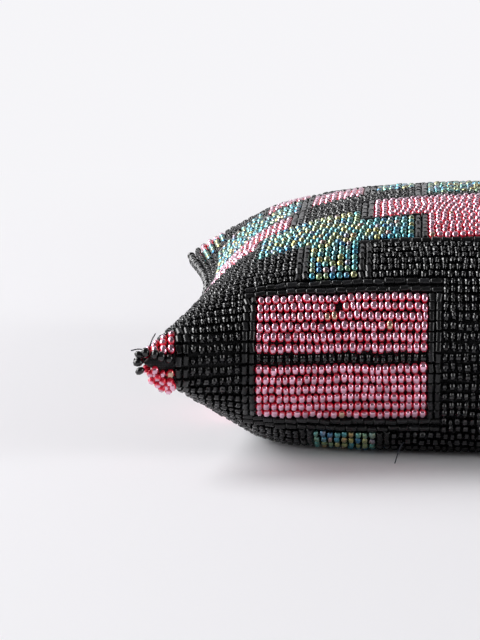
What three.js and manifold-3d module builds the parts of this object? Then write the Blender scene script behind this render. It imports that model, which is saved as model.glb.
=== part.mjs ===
// A small zipped crossbody pouch, covered in rows of seed beads, stuffed and lying on its back panel.
// Millimetres, +Z up. X runs along the folded bottom edge, Y from that fold to the zip.
import * as THREE from 'three';
import { mergeVertices } from 'three/addons/utils/BufferGeometryUtils.js';
import Module from 'manifold-3d';

const wasm = await Module();
wasm.setup();

// Driving dimensions of the cloth
const FLAT_WIDTH = 180;
const FLAT_DEPTH = 150.7;
const FABRIC = 1.2;
const LINING = 0.5;
const LINING_EASE = 0.5;
const LINING_SIDE_EASE = 0.4;
const SEAM_ALLOWANCE = 6;
const MOUTH_WALL = 3;
const CLEARANCE = 0.3;

// The stuffed form: how far each panel would swell from the seam, and how steeply it leaves its edges.
// The back panel is pressed flat where it meets the surface that the bag lies on.
const SEAM_HEIGHT = 23.5;
const FRONT_SWELL = 30.8;
const BACK_SWELL = 62;
const FRONT_SIDE_SLOPE = THREE.MathUtils.degToRad(78);
const BACK_SIDE_SLOPE = THREE.MathUtils.degToRad(89);
const FRONT_FOLD_SLOPE = THREE.MathUtils.degToRad(87);
const BACK_FOLD_SLOPE = THREE.MathUtils.degToRad(97);
const MOUTH_SLOPE = THREE.MathUtils.degToRad(50);
const MOUTH_GAP = 12;
const MOUTH_TAPER = 22;
const CORNER_REACH = 26;
const FLOOR_ROUNDING = 2.5;

// Beadwork
const ROW_PITCH = 2.2;
const BEAD_PITCH = 1.55;
const BEAD_BASE = 0.5;
const BEAD_CREST = 1.75;
const BEAD_VALLEY = 1.05;

// Zip
const ZIP_LENGTH = 132;
const SLOT_HEIGHT = 10;
const SLOT_SPARE = 3;
const TAPE_THICKNESS = 0.7;
const TAPE_OPENING = 2;
const TOOTH_PITCH = 5;
const TOOTH_WIDTH = 2.1;
const TOOTH_REACH = 1.4;
const CHAIN_SPINE = 1.3;
const CHAIN_THICKNESS = 1.6;
const STOP_LENGTH = 2;
const SLIDER_LENGTH = 9;
const SLIDER_WALL = 1.1;
const BRIDGE_WIDTH = 2.2;
const BRIDGE_SPAN = 6.2;
const BRIDGE_WALL = 0.9;
const BRIDGE_ROOM = 2;
const PULL_LENGTH = 21;
const PULL_WIDTH = 7;
const PULL_THICKNESS = 1.1;
const PULL_BAR = 1.3;

// Strap tabs and rings at the ends of the zip
const TAB_WIDTH = 8;
const TAB_CLOTH = 1.2;
const TAB_LENGTH = 6.5;
const RING_WIRE = 2;
const RING_OPENING = 9.6;
const RING_DROP = 8.6;
const RING_EDGE = 0.35;

// Bead rope along each side seam
const ROPE_RADIUS = 1.1;

const finish = (name, color, roughness, metalness) =>
  new THREE.MeshStandardMaterial({ name, color, roughness, metalness });
const FINISHES = {
  cloth: finish('cloth', 0x16161a, 0.9, 0),
  lining: finish('lining', 0x2a2428, 0.75, 0),
  black: finish('black', 0x0d0d10, 0.2, 0),
  pink: finish('pink', 0xc8566a, 0.2, 0.1),
  teal: finish('teal', 0x3f7f86, 0.2, 0.6),
  tape: finish('tape', 0x18181b, 0.85, 0),
  teeth: finish('teeth', 0x2b2b2e, 0.4, 0),
  metal: finish('metal', 0x8b8b90, 0.3, 1),
};

const bag = new THREE.Group();
function place(name, geometry, material) {
  const mesh = new THREE.Mesh(geometry, FINISHES[material]);
  mesh.name = name;
  bag.add(mesh);
  return mesh;
}

// Solids: position only, shared vertices merged, collapsed triangles dropped
function toSolid(geometry) {
  const plain = geometry.clone();
  for (const attribute of ['normal', 'uv', 'color']) plain.deleteAttribute(attribute);
  const merged = mergeVertices(plain, 1e-5);
  const index = merged.index.array;
  const kept = [];
  for (let i = 0; i < index.length; i += 3) {
    const [a, b, c] = [index[i], index[i + 1], index[i + 2]];
    if (a !== b && b !== c && c !== a) kept.push(a, b, c);
  }
  return new wasm.Manifold(new wasm.Mesh({
    numProp: 3,
    vertProperties: new Float32Array(merged.attributes.position.array),
    triVerts: new Uint32Array(kept),
  }));
}

function toGeometry(solid) {
  const mesh = solid.getMesh();
  const geometry = new THREE.BufferGeometry();
  geometry.setAttribute('position', new THREE.BufferAttribute(new Float32Array(mesh.vertProperties), 3));
  geometry.setIndex(new THREE.BufferAttribute(new Uint32Array(mesh.triVerts), 1));
  return geometry;
}

const blockSolid = (width, depth, height, x, y, z) =>
  toSolid(new THREE.BoxGeometry(width, depth, height).translate(x, y, z));

// A cloth whose slope starts at one angle and dies away over a length:
// these series give its rise and how much shorter it gets.
const riseSeries = (a) => a - a ** 3 / 18 + a ** 5 / 600 - a ** 7 / 35280;
const shortSeries = (a) => a ** 2 / 4 - a ** 4 / 96 + a ** 6 / 4320 - a ** 8 / 322560;
const fade = (slope, length, way) => slope * Math.exp(-way / Math.max(length, 1e-3));

function shareOfRise(way, slope, length, whole) {
  const full = riseSeries(slope) - riseSeries(fade(slope, length, whole));
  return (riseSeries(slope) - riseSeries(fade(slope, length, way))) / full;
}

function shortening(way, slope, length) {
  return length * (shortSeries(slope) - shortSeries(fade(slope, length, way)));
}

// Where along the cloth its rise reaches a given share, by Newton's steps on the slope there
function wayToShare(share, slope, length, whole) {
  const end = fade(slope, length, whole);
  const target = riseSeries(slope) - share * (riseSeries(slope) - riseSeries(end));
  let a = slope * (1 - share) + end * share;
  for (let step = 0; step < 8; step += 1) a -= (riseSeries(a) - target) / (Math.sin(a) / a);
  return length * Math.log(slope / a);
}

const HALF_WIDTH = FLAT_WIDTH / 2;
const FLOOR_DROP = SEAM_HEIGHT - BEAD_CREST;
const smooth = (t) => t * t * (3 - 2 * t);

// What one panel is like before it is bent to the place across the bag
function panelForm(swell, sideSlope, foldSlope) {
  return { swell, sideSlope, foldSlope, sideLength: swell / riseSeries(sideSlope) };
}
const FRONT = panelForm(FRONT_SWELL, FRONT_SIDE_SLOPE, FRONT_FOLD_SLOPE);
const BACK = panelForm(BACK_SWELL, BACK_SIDE_SLOPE, BACK_FOLD_SLOPE);

// Swell and bending lengths of one panel at a place across the bag, and where the back panel meets the floor
function panelBend(u, form) {
  const inset = HALF_WIDTH - Math.abs(u);
  const height = form.swell * shareOfRise(inset, form.sideSlope, form.sideLength, HALF_WIDTH);
  const gap = Math.min((MOUTH_GAP / 2) * Math.min(1, inset / MOUTH_TAPER), 0.8 * height);
  const fold = height / riseSeries(form.foldSlope);
  const mouth = (height - gap) / riseSeries(MOUTH_SLOPE);
  const bend = { inset, height, gap, fold, mouth, foldSlope: form.foldSlope };
  bend.foldFree = FLAT_DEPTH;
  bend.mouthFree = FLAT_DEPTH;
  if (form === BACK && height > FLOOR_DROP + FLOOR_ROUNDING) {
    bend.foldFree = wayToShare(FLOOR_DROP / height, form.foldSlope, fold, FLAT_DEPTH);
    bend.mouthFree = wayToShare((FLOOR_DROP - gap) / (height - gap), MOUTH_SLOPE, mouth, FLAT_DEPTH);
  }
  return bend;
}

function foldLine(u) {
  return -FLAT_DEPTH / 2 + panelBend(u, FRONT).fold * shortSeries(FRONT_FOLD_SLOPE);
}

function looseReach(u, s, bend) {
  const nearFold = shortening(Math.min(s, bend.foldFree), bend.foldSlope, bend.fold);
  const toMouth = shortening(bend.mouthFree, MOUTH_SLOPE, bend.mouth);
  const nearMouth = toMouth - shortening(Math.min(FLAT_DEPTH - s, bend.mouthFree), MOUTH_SLOPE, bend.mouth);
  return foldLine(u) + s - nearFold - nearMouth;
}

const MOUTH_Y = looseReach(0, FLAT_DEPTH, panelBend(0, FRONT));

// The cloth's outer face: u across from the middle, v along from the fold, front panel positive
function cloth(u, v) {
  const front = v >= 0;
  const s = Math.abs(v);
  const bend = panelBend(u, front ? FRONT : BACK);
  const leaving = shareOfRise(s, bend.foldSlope, bend.fold, FLAT_DEPTH);
  const closing = 1 - shareOfRise(FLAT_DEPTH - s, MOUTH_SLOPE, bend.mouth, FLAT_DEPTH);
  const lift = bend.height * leaving - (bend.height - bend.gap) * closing;
  let z = SEAM_HEIGHT + (front ? lift : -lift);
  const above = z - BEAD_CREST;
  if (!front && above < FLOOR_ROUNDING) {
    z = BEAD_CREST + Math.max(0, above + FLOOR_ROUNDING) ** 2 / (4 * FLOOR_ROUNDING);
  }
  const far = smooth(Math.max(0, (2 * s) / FLAT_DEPTH - 1));
  const y = looseReach(u, s, bend) + far * (MOUTH_Y - looseReach(u, FLAT_DEPTH, bend));
  const open = (1 - Math.exp(-s / CORNER_REACH)) * (1 - Math.exp((s - FLAT_DEPTH) / CORNER_REACH));
  const { sideSlope, sideLength } = FRONT;
  const pulled = shortening(HALF_WIDTH, sideSlope, sideLength) - shortening(bend.inset, sideSlope, sideLength);
  const x = Math.sign(u) * (Math.abs(u) - open ** 2 * pulled);
  return new THREE.Vector3(x, y, z);
}

function clothNormal(u, v) {
  const step = 0.4;
  const across = Math.max(-HALF_WIDTH + step, Math.min(HALF_WIDTH - step, u));
  const along = Math.max(-FLAT_DEPTH + step, Math.min(FLAT_DEPTH - step, v));
  const tangentU = cloth(across + step, along).sub(cloth(across - step, along));
  const tangentV = cloth(across, along + step).sub(cloth(across, along - step));
  return tangentU.cross(tangentV).normalize();
}

const offCloth = (u, v, lift) => cloth(u, v).addScaledVector(clothNormal(u, v), lift);

// Places where the surfaces are sampled, closer together towards the edges
const ACROSS_STEPS = 8;
const ALONG_STEPS = 12;
const ACROSS = Array.from({ length: ACROSS_STEPS + 1 }, (_, i) =>
  HALF_WIDTH * Math.sin((Math.PI / ACROSS_STEPS) * (i - ACROSS_STEPS / 2)));
const ALONG = Array.from({ length: ALONG_STEPS + 1 }, (_, i) =>
  (FLAT_DEPTH / 2) * (1 - Math.cos((Math.PI / ALONG_STEPS) * i)));
const MIN_STEP = 1;

function between(stations, first, last) {
  const inner = stations.filter((t) => t > first + MIN_STEP && t < last - MIN_STEP);
  return [first, ...inner, last];
}

// A quad as two triangles, cut along either diagonal
function addQuad(triangles, a, b, c, d, otherWay = false) {
  if (otherWay) triangles.push(a, b, d, b, c, d);
  else triangles.push(a, b, c, a, c, d);
}

// A sheet of quads over rows of points; near the corners the cuts turn round them, so that the cloth lies flatter
function addSheet(triangles, rows, across, along, inward = false) {
  for (let j = 0; j + 1 < along.length; j += 1) {
    const v = (along[j] + along[j + 1]) / 2;
    for (let i = 0; i + 1 < across.length; i += 1) {
      const u = (across[i] + across[i + 1]) / 2;
      const otherWay = u * v * (Math.abs(v) - FLAT_DEPTH / 2) > 0;
      const [a, b, c, d] = [rows[j][i], rows[j][i + 1], rows[j + 1][i + 1], rows[j + 1][i]];
      if (inward) addQuad(triangles, a, d, c, b, otherWay);
      else addQuad(triangles, a, b, c, d, otherWay);
    }
  }
}

function meshGeometry(points, triangles) {
  const geometry = new THREE.BufferGeometry().setFromPoints(points);
  geometry.setIndex(triangles);
  return geometry;
}

// The whole pouch at a height off the cloth: both panels in one sheet, closed at the mouth and the sides
function wrappedPouch(across, along, lift) {
  const stations = [...along.map((s) => -s).reverse(), 0, ...along];
  const points = [];
  const triangles = [];
  const rows = stations.map((v) => across.map((u) => points.push(offCloth(u, v, lift)) - 1));
  addSheet(triangles, rows, across, stations);
  const top = stations.length - 1;
  const end = across.length - 1;
  for (let i = 0; i < end; i += 1) {
    addQuad(triangles, rows[top][i], rows[top][i + 1], rows[0][i + 1], rows[0][i]);
  }
  for (let j = 0; j < top / 2; j += 1) {
    const [low, lowNext, high, highNext] = [rows[j], rows[j + 1], rows[top - j], rows[top - j - 1]];
    addQuad(triangles, low[0], lowNext[0], highNext[0], high[0]);
    addQuad(triangles, high[end], highNext[end], lowNext[end], low[end]);
  }
  return toSolid(meshGeometry(points, triangles));
}

// A slab on a stretch of one panel, between two heights off the cloth
function wrappedSlab(u0, u1, v0, v1, low, high) {
  const across = between(ACROSS, u0, u1);
  const bothWays = [...ALONG.map((s) => -s).reverse(), ...ALONG.slice(1)];
  const along = between(bothWays, v0, v1);
  const points = [];
  const triangles = [];
  const addRows = (lift) => along.map((v) => across.map((u) => points.push(offCloth(u, v, lift)) - 1));
  const top = addRows(high);
  const base = addRows(low);
  addSheet(triangles, top, across, along);
  addSheet(triangles, base, across, along, true);
  const [end, last] = [across.length - 1, along.length - 1];
  for (let i = 0; i < end; i += 1) {
    addQuad(triangles, base[0][i], base[0][i + 1], top[0][i + 1], top[0][i]);
    addQuad(triangles, top[last][i], top[last][i + 1], base[last][i + 1], base[last][i]);
  }
  for (let j = 0; j < last; j += 1) {
    addQuad(triangles, top[j][0], top[j + 1][0], base[j + 1][0], base[j][0]);
    addQuad(triangles, top[j + 1][end], top[j][end], base[j][end], base[j + 1][end]);
  }
  return toSolid(meshGeometry(points, triangles));
}

// Outer fabric: one sheet folded at the bottom and sewn up both sides, open along the zip
const slotLength = ZIP_LENGTH + 2 * (STOP_LENGTH + SLOT_SPARE);
const slotDepth = 4 * MOUTH_GAP;
const zipSlot = blockSolid(slotLength, slotDepth, SLOT_HEIGHT, 0, MOUTH_Y, SEAM_HEIGHT);

function pouchRoom(sideInset, mouthEnd, lift) {
  const reach = HALF_WIDTH - sideInset;
  const across = between(ACROSS, -reach, reach);
  const along = between(ALONG, ROW_PITCH, mouthEnd);
  return wrappedPouch(across, along, lift);
}

const roomEnd = FLAT_DEPTH - MOUTH_WALL;
const fabricAlong = between(ALONG, ROW_PITCH, FLAT_DEPTH);
const fabricOuter = wrappedPouch(ACROSS, fabricAlong, 0);
const fabricRoom = pouchRoom(SEAM_ALLOWANCE, roomEnd, -FABRIC);
place('outer_fabric', toGeometry(fabricOuter.subtract(fabricRoom).subtract(zipSlot)), 'cloth');

// Lining: a thinner pouch hanging inside the fabric, open at its mouth
const liningFace = FABRIC + LINING_EASE;
const liningSide = SEAM_ALLOWANCE + LINING_SIDE_EASE;
const liningEnd = ALONG.at(-3);
const liningOuter = pouchRoom(liningSide, liningEnd, -liningFace);
const liningRoom = pouchRoom(liningSide + LINING, roomEnd, -liningFace - LINING);
place('lining', toGeometry(liningOuter.subtract(liningRoom)), 'lining');

// Beadwork: fields of colour with a ridge for each row of beads, let into a layer of black beads
const ROWS = Math.floor((FLAT_DEPTH + CLEARANCE) / ROW_PITCH - 0.5);
const COLUMNS = Math.floor(FLAT_WIDTH / BEAD_PITCH);
const columnEdge = (c) => (c - COLUMNS / 2) * BEAD_PITCH;
const rowEdge = (r) => (r - 0.5) * ROW_PITCH;
const ROOM_HEIGHT = 2 * BEAD_CREST;
const COARSE_ROWS = 2;
const ROWS_PER_STEP = 2;
const FLAT_STEP = 12;
const CORNER_STEPS = 4;

// Crests and furrows along a stretch of rows; layers lie flat where the back panel rests on the floor
function ridgeStations([, , r0, r1], rowsPerRidge, liesFlat) {
  const start = rowEdge(r0) + CLEARANCE / 2;
  const reach = rowEdge(r1 + 1) - CLEARANCE / 2 - start;
  const steps = 2 * Math.round((r1 - r0 + 1) / rowsPerRidge);
  const stations = [];
  for (let j = 0; j <= steps; j += 1) {
    const v = start + (reach * j) / steps;
    const flat = liesFlat && v < 0 && cloth(0, v).z < BEAD_CREST + CLEARANCE;
    if (!flat) stations.push({ v, lift: j % 2 === 1 ? BEAD_CREST : BEAD_VALLEY });
    else if (j % FLAT_STEP === 0) stations.push({ v, lift: BEAD_CREST });
  }
  return stations;
}

// Rows of whole beads: a ridged top, a smooth underside and walls that join them
function ridgedField(block, rowsPerRidge = 1, liesFlat = false) {
  const [c0, c1] = block;
  const across = between(ACROSS, columnEdge(c0) + CLEARANCE / 2, columnEdge(c1 + 1) - CLEARANCE / 2);
  const stations = ridgeStations(block, rowsPerRidge, liesFlat);
  const along = stations.map(({ v }) => v);
  const steps = along.length - 1;
  const supportStep = 2 * Math.ceil(ROWS_PER_STEP / rowsPerRidge);
  const supports = along.map((_, j) => j).filter((j) => j % supportStep === 0 || j === steps);
  const points = [];
  const triangles = [];
  const addRow = (v, lift) => across.map((u) => points.push(offCloth(u, v, lift)) - 1);
  const top = stations.map(({ v, lift }) => addRow(v, lift));
  const base = supports.map((j) => addRow(along[j], BEAD_BASE));
  const last = across.length - 1;
  addSheet(triangles, top, across, along);
  addSheet(triangles, base, across, supports.map((j) => along[j]), true);
  for (let i = 0; i < last; i += 1) {
    addQuad(triangles, base[0][i], base[0][i + 1], top[0][i + 1], top[0][i]);
    addQuad(triangles, top[steps][i], top[steps][i + 1], base.at(-1)[i + 1], base.at(-1)[i]);
  }
  for (let k = 0; k + 1 < base.length; k += 1) {
    for (let j = supports[k]; j < supports[k + 1]; j += 1) {
      triangles.push(base[k][0], top[j][0], top[j + 1][0]);
      triangles.push(base[k][last], top[j + 1][last], top[j][last]);
    }
    const end = supports[k + 1];
    triangles.push(base[k][0], top[end][0], base[k + 1][0]);
    triangles.push(base[k][last], base[k + 1][last], top[end][last]);
  }
  return meshGeometry(points, triangles);
}

// The room that a field takes in the black layer
function fieldRoom([c0, c1, r0, r1]) {
  const spare = CLEARANCE / 2;
  return wrappedSlab(columnEdge(c0) - spare, columnEdge(c1 + 1) + spare,
    rowEdge(r0) - spare, rowEdge(r1 + 1) + spare, -CLEARANCE, ROOM_HEIGHT);
}

// The room around a bottom corner, where the cloth is drawn to a point: a plain block cut off the layer
function cornerRoom(side) {
  const [c0, c1, r0, r1] = CORNER_FIELD.block;
  const columns = Array.from({ length: CORNER_STEPS + 1 }, (_, i) =>
    columnEdge(c0 + ((c1 + 1 - c0) * i) / CORNER_STEPS));
  const rows = Array.from({ length: r1 + 2 - r0 }, (_, j) => rowEdge(r0 + j));
  const places = columns.flatMap((u) => rows.map((v) => [u, v]));
  const rim = [BEAD_BASE, BEAD_CREST].flatMap((lift) => places.map(([u, v]) => offCloth(u, v, lift)));
  const reachX = Math.max(...rim.map((point) => point.x)) + CLEARANCE;
  const reachY = Math.max(...rim.map((point) => point.y)) + CLEARANCE;
  const room = new THREE.BoxGeometry(FLAT_WIDTH, FLAT_DEPTH, FLAT_DEPTH);
  return toSolid(room.translate(side * (FLAT_WIDTH / 2 - reachX), reachY - FLAT_DEPTH / 2, SEAM_HEIGHT));
}

// Fields of colour: first and last column from the side seam, first and last row from the fold
const SIDE_FIELDS = [
  { name: 'pink_fold', colour: 'pink', block: [15, 38, 1, 6] },
  { name: 'teal_narrow', colour: 'teal', block: [22, 28, 9, 15] },
  { name: 'teal_wide', colour: 'teal', block: [14, 36, 16, 21] },
  { name: 'teal_rise', colour: 'teal', block: [14, 28, 22, 25] },
  { name: 'pink_step', colour: 'pink', block: [4, 17, 27, 33] },
  { name: 'teal_band', colour: 'teal', block: [3, 18, 36, 44] },
  { name: 'pink_far', colour: 'pink', block: [21, 28, 37, 45] },
];
const CENTRE_FIELDS = [
  { name: 'pink_centre', colour: 'pink', block: [39, 16, 22] },
  { name: 'pink_cross', colour: 'pink', block: [31, 23, 30] },
  { name: 'teal_centre', colour: 'teal', block: [39, 33, 44] },
  { name: 'pink_top', colour: 'pink', block: [39, 48, 57] },
];
const EDGE_COLUMN = 1.5;
const CORNER_FIELD = { name: 'pink_corner', colour: 'pink', block: [EDGE_COLUMN, 4, -4, 3] };
const LAST_ROW = ROWS - 4;

const mirrored = ([c0, c1, r0, r1]) => [COLUMNS - 1 - c1, COLUMNS - 1 - c0, r0, r1];
const onBack = ([c0, c1, r0, r1]) => [c0, c1, -r1, -r0];
const cutToPanel = ([c0, c1, r0, r1]) => [c0, c1, r0, Math.min(r1, LAST_ROW)];

const fabricSkin = wrappedPouch(ACROSS, fabricAlong, CLEARANCE);
for (const [side, onSide] of [['left', (block) => block], ['right', mirrored]]) {
  const { name, colour, block } = CORNER_FIELD;
  const beads = toSolid(ridgedField(onSide(block))).subtract(fabricSkin);
  place(`${name}_${side}`, toGeometry(beads), colour);
}
const fields = [];
for (const [panel, onPanel] of [['front', (block) => block], ['back', onBack]]) {
  for (const { name, colour, block } of SIDE_FIELDS) {
    const left = onPanel(cutToPanel(block));
    fields.push({ name: `${name}_${panel}_left`, colour, block: left });
    fields.push({ name: `${name}_${panel}_right`, colour, block: mirrored(left) });
  }
  for (const { name, colour, block: [c, r0, r1] } of CENTRE_FIELDS) {
    const whole = onPanel(cutToPanel([c, COLUMNS - 1 - c, r0, r1]));
    fields.push({ name: `${name}_${panel}`, colour, block: whole });
  }
}
const shownFields = fields.filter(({ block }) => block[2] <= block[3]);
for (const { name, colour, block } of shownFields) {
  place(name, ridgedField(block, block[3] < 0 ? COARSE_ROWS : 1), colour);
}

// Black beads: one layer on each panel around the fields
for (const [name, r0, r1] of [['front', 0, ROWS], ['back', -ROWS, -1]]) {
  const rows = ridgedField([EDGE_COLUMN, COLUMNS - 1 - EDGE_COLUMN, r0, r1], COARSE_ROWS, true);
  const layer = toSolid(rows).subtract(fabricSkin);
  const rooms = [...shownFields.map(({ block }) => fieldRoom(block)), cornerRoom(-1), cornerRoom(1)];
  const beads = rooms.reduce((rest, room) => rest.subtract(room), layer);
  place(`black_beads_${name}`, toGeometry(beads), 'black');
}

// Bead rope sewn along each side seam
class SeamCurve extends THREE.Curve {
  constructor(side) {
    super();
    this.side = side;
  }

  getPoint(t) {
    const s = ROW_PITCH + t * (FLAT_DEPTH - 2 * ROW_PITCH);
    const seam = cloth(this.side * HALF_WIDTH, s);
    seam.x += this.side * (CLEARANCE + ROPE_RADIUS);
    return seam;
  }
}
const ropeSection = new THREE.Shape().absarc(0, 0, ROPE_RADIUS, 0, 2 * Math.PI);
for (const [side, name] of [[-1, 'left'], [1, 'right']]) {
  const rope = new THREE.ExtrudeGeometry(ropeSection, { steps: 22, curveSegments: 3, extrudePath: new SeamCurve(side) });
  place(`side_rope_${name}`, rope, 'black');
}

// Zip: two tapes edge to edge in the slot, with interlocking combs of teeth on their outer faces
const zipFrame = new THREE.Group();
zipFrame.position.set(0, MOUTH_Y, SEAM_HEIGHT);
bag.add(zipFrame);
const tapeFace = -1.2;
const chainBack = tapeFace + CLEARANCE;
const chainTop = chainBack + CHAIN_THICKNESS;
const spineNear = TOOTH_REACH + CLEARANCE;

function tapeGeometry(side) {
  const near = TAPE_OPENING / 2;
  const far = SLOT_HEIGHT / 2 - CLEARANCE;
  const tape = new THREE.BoxGeometry(slotLength - 2 * CLEARANCE, TAPE_THICKNESS, far - near);
  return tape.translate(0, tapeFace - TAPE_THICKNESS / 2, (side * (near + far)) / 2);
}

// A comb: a spine along the tape with teeth that reach past the middle line
function combGeometry(side, shift) {
  const outline = new THREE.Shape();
  const start = -ZIP_LENGTH / 2;
  const count = Math.floor((ZIP_LENGTH - TOOTH_PITCH) / TOOTH_PITCH);
  const half = TOOTH_WIDTH / 2;
  outline.moveTo(start, side * (spineNear + CHAIN_SPINE));
  outline.lineTo(start, side * spineNear);
  for (let k = 0; k < count; k += 1) {
    const tooth = start + TOOTH_PITCH / 2 + k * TOOTH_PITCH + shift;
    outline.lineTo(tooth - half, side * spineNear);
    outline.lineTo(tooth - half, -side * TOOTH_REACH);
    outline.lineTo(tooth + half, -side * TOOTH_REACH);
    outline.lineTo(tooth + half, side * spineNear);
  }
  outline.lineTo(-start, side * spineNear);
  outline.lineTo(-start, side * (spineNear + CHAIN_SPINE));
  const comb = new THREE.ExtrudeGeometry(outline, { depth: CHAIN_THICKNESS, bevelEnabled: false });
  return comb.rotateX(Math.PI / 2).translate(0, chainTop, 0);
}

function placeZip(name, geometry, material) {
  const mesh = place(name, geometry, material);
  zipFrame.add(mesh);
  return mesh;
}
placeZip('zip_tape_front', tapeGeometry(1), 'tape');
placeZip('zip_tape_back', tapeGeometry(-1), 'tape');
placeZip('zip_teeth_front', combGeometry(1, 0), 'teeth');
placeZip('zip_teeth_back', combGeometry(-1, TOOTH_PITCH / 2), 'teeth');

// Stops crimped over the ends of the teeth
function stopGeometry() {
  const width = 2 * (spineNear + CHAIN_SPINE);
  const outline = new THREE.Shape();
  const round = STOP_LENGTH / 3;
  outline.moveTo(-STOP_LENGTH / 2, -width / 2 + round);
  outline.quadraticCurveTo(-STOP_LENGTH / 2, -width / 2, -STOP_LENGTH / 2 + round, -width / 2);
  outline.lineTo(STOP_LENGTH / 2 - round, -width / 2);
  outline.quadraticCurveTo(STOP_LENGTH / 2, -width / 2, STOP_LENGTH / 2, -width / 2 + round);
  outline.lineTo(STOP_LENGTH / 2, width / 2 - round);
  outline.quadraticCurveTo(STOP_LENGTH / 2, width / 2, STOP_LENGTH / 2 - round, width / 2);
  outline.lineTo(-STOP_LENGTH / 2 + round, width / 2);
  outline.quadraticCurveTo(-STOP_LENGTH / 2, width / 2, -STOP_LENGTH / 2, width / 2 - round);
  const plate = new THREE.ExtrudeGeometry(outline, { depth: CHAIN_THICKNESS, curveSegments: 3, bevelEnabled: false });
  return plate.rotateX(Math.PI / 2).translate(0, chainTop, 0);
}
for (const [side, name] of [[-1, 'left'], [1, 'right']]) {
  const stop = placeZip(`zip_stop_${name}`, stopGeometry(), 'metal');
  stop.position.x = side * (ZIP_LENGTH / 2 + CLEARANCE + STOP_LENGTH / 2);
}

// Slider: a saddle over the teeth with a bridge for the pull
const plateBack = chainTop + CLEARANCE;
const plateTop = plateBack + SLIDER_WALL;
const saddleInner = spineNear + CHAIN_SPINE + CLEARANCE;
const saddleOuter = saddleInner + SLIDER_WALL;
const SLIDER_NARROWING = 1.1;

function sliderGeometry() {
  const plan = new THREE.Shape();
  plan.moveTo(-SLIDER_LENGTH / 2, -saddleOuter + SLIDER_NARROWING);
  plan.lineTo(0, -saddleOuter);
  plan.lineTo(SLIDER_LENGTH / 2 - SLIDER_NARROWING, -saddleOuter);
  plan.quadraticCurveTo(SLIDER_LENGTH / 2, -saddleOuter, SLIDER_LENGTH / 2, -saddleOuter + 2 * SLIDER_NARROWING);
  plan.lineTo(SLIDER_LENGTH / 2, saddleOuter - 2 * SLIDER_NARROWING);
  plan.quadraticCurveTo(SLIDER_LENGTH / 2, saddleOuter, SLIDER_LENGTH / 2 - SLIDER_NARROWING, saddleOuter);
  plan.lineTo(0, saddleOuter);
  plan.lineTo(-SLIDER_LENGTH / 2, saddleOuter - SLIDER_NARROWING);
  const height = plateTop - tapeFace - CLEARANCE;
  const body = new THREE.ExtrudeGeometry(plan, { depth: height, curveSegments: 4, bevelEnabled: false });
  const outer = toSolid(body.rotateX(Math.PI / 2).translate(0, plateTop, 0));
  const tunnelBack = tapeFace - SLIDER_WALL;
  const tunnel = blockSolid(2 * SLIDER_LENGTH, plateBack - tunnelBack, 2 * saddleInner,
    0, (plateBack + tunnelBack) / 2, 0);
  return outer.subtract(tunnel).add(bridgeSolid());
}

function bridgeSolid() {
  const outerSpan = BRIDGE_SPAN / 2 + BRIDGE_WALL;
  const outerTop = BRIDGE_ROOM + BRIDGE_WALL;
  const foot = SLIDER_WALL / 2;
  const arch = new THREE.Shape();
  arch.moveTo(-outerSpan, -foot);
  arch.lineTo(-outerSpan, outerTop / 2);
  arch.quadraticCurveTo(-outerSpan, outerTop, -BRIDGE_SPAN / 4, outerTop);
  arch.lineTo(BRIDGE_SPAN / 4, outerTop);
  arch.quadraticCurveTo(outerSpan, outerTop, outerSpan, outerTop / 2);
  arch.lineTo(outerSpan, -foot);
  arch.lineTo(BRIDGE_SPAN / 2, -foot);
  arch.lineTo(BRIDGE_SPAN / 2, BRIDGE_ROOM / 2);
  arch.quadraticCurveTo(BRIDGE_SPAN / 2, BRIDGE_ROOM, BRIDGE_SPAN / 4, BRIDGE_ROOM);
  arch.lineTo(-BRIDGE_SPAN / 4, BRIDGE_ROOM);
  arch.quadraticCurveTo(-BRIDGE_SPAN / 2, BRIDGE_ROOM, -BRIDGE_SPAN / 2, BRIDGE_ROOM / 2);
  arch.lineTo(-BRIDGE_SPAN / 2, -foot);
  const bridge = new THREE.ExtrudeGeometry(arch, { depth: BRIDGE_WIDTH, curveSegments: 5, bevelEnabled: false });
  return toSolid(bridge.translate(0, plateTop, -BRIDGE_WIDTH / 2));
}

const sliderX = ZIP_LENGTH / 2 - SLIDER_LENGTH;
const slider = placeZip('zip_slider', toGeometry(sliderGeometry()), 'metal');
slider.position.x = sliderX;

// Pull: a flat tongue whose end bar lies under the bridge
function pullGeometry() {
  const bar = PULL_BAR / 2;
  const side = PULL_WIDTH / 2;
  const eye = BRIDGE_WIDTH / 2 + 2 * CLEARANCE;
  const neck = eye + PULL_BAR;
  const eyeEnd = bar + BRIDGE_SPAN / 2 + BRIDGE_WALL + CLEARANCE;
  const tongue = new THREE.Shape();
  tongue.moveTo(bar, -neck);
  tongue.lineTo(bar, neck);
  tongue.lineTo(-eyeEnd, neck);
  tongue.quadraticCurveTo(-eyeEnd - side / 2, side, -eyeEnd - side, side);
  tongue.lineTo(-PULL_LENGTH + side, side);
  tongue.absarc(-PULL_LENGTH + side, 0, side, Math.PI / 2, (3 * Math.PI) / 2, false);
  tongue.lineTo(-eyeEnd - side, -side);
  tongue.quadraticCurveTo(-eyeEnd - side / 2, -side, -eyeEnd, -neck);
  const hole = new THREE.Path();
  hole.moveTo(-bar, -eye);
  hole.lineTo(-eyeEnd, -eye);
  hole.lineTo(-eyeEnd, eye);
  hole.lineTo(-bar, eye);
  tongue.holes.push(hole);
  const plate = new THREE.ExtrudeGeometry(tongue, { depth: PULL_THICKNESS, curveSegments: 6, bevelEnabled: false });
  return plate.rotateX(Math.PI / 2).translate(0, PULL_THICKNESS / 2, 0);
}
const pull = placeZip('zip_pull', pullGeometry(), 'metal');
pull.position.set(sliderX, plateTop + BRIDGE_ROOM / 2, 0);

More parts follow.
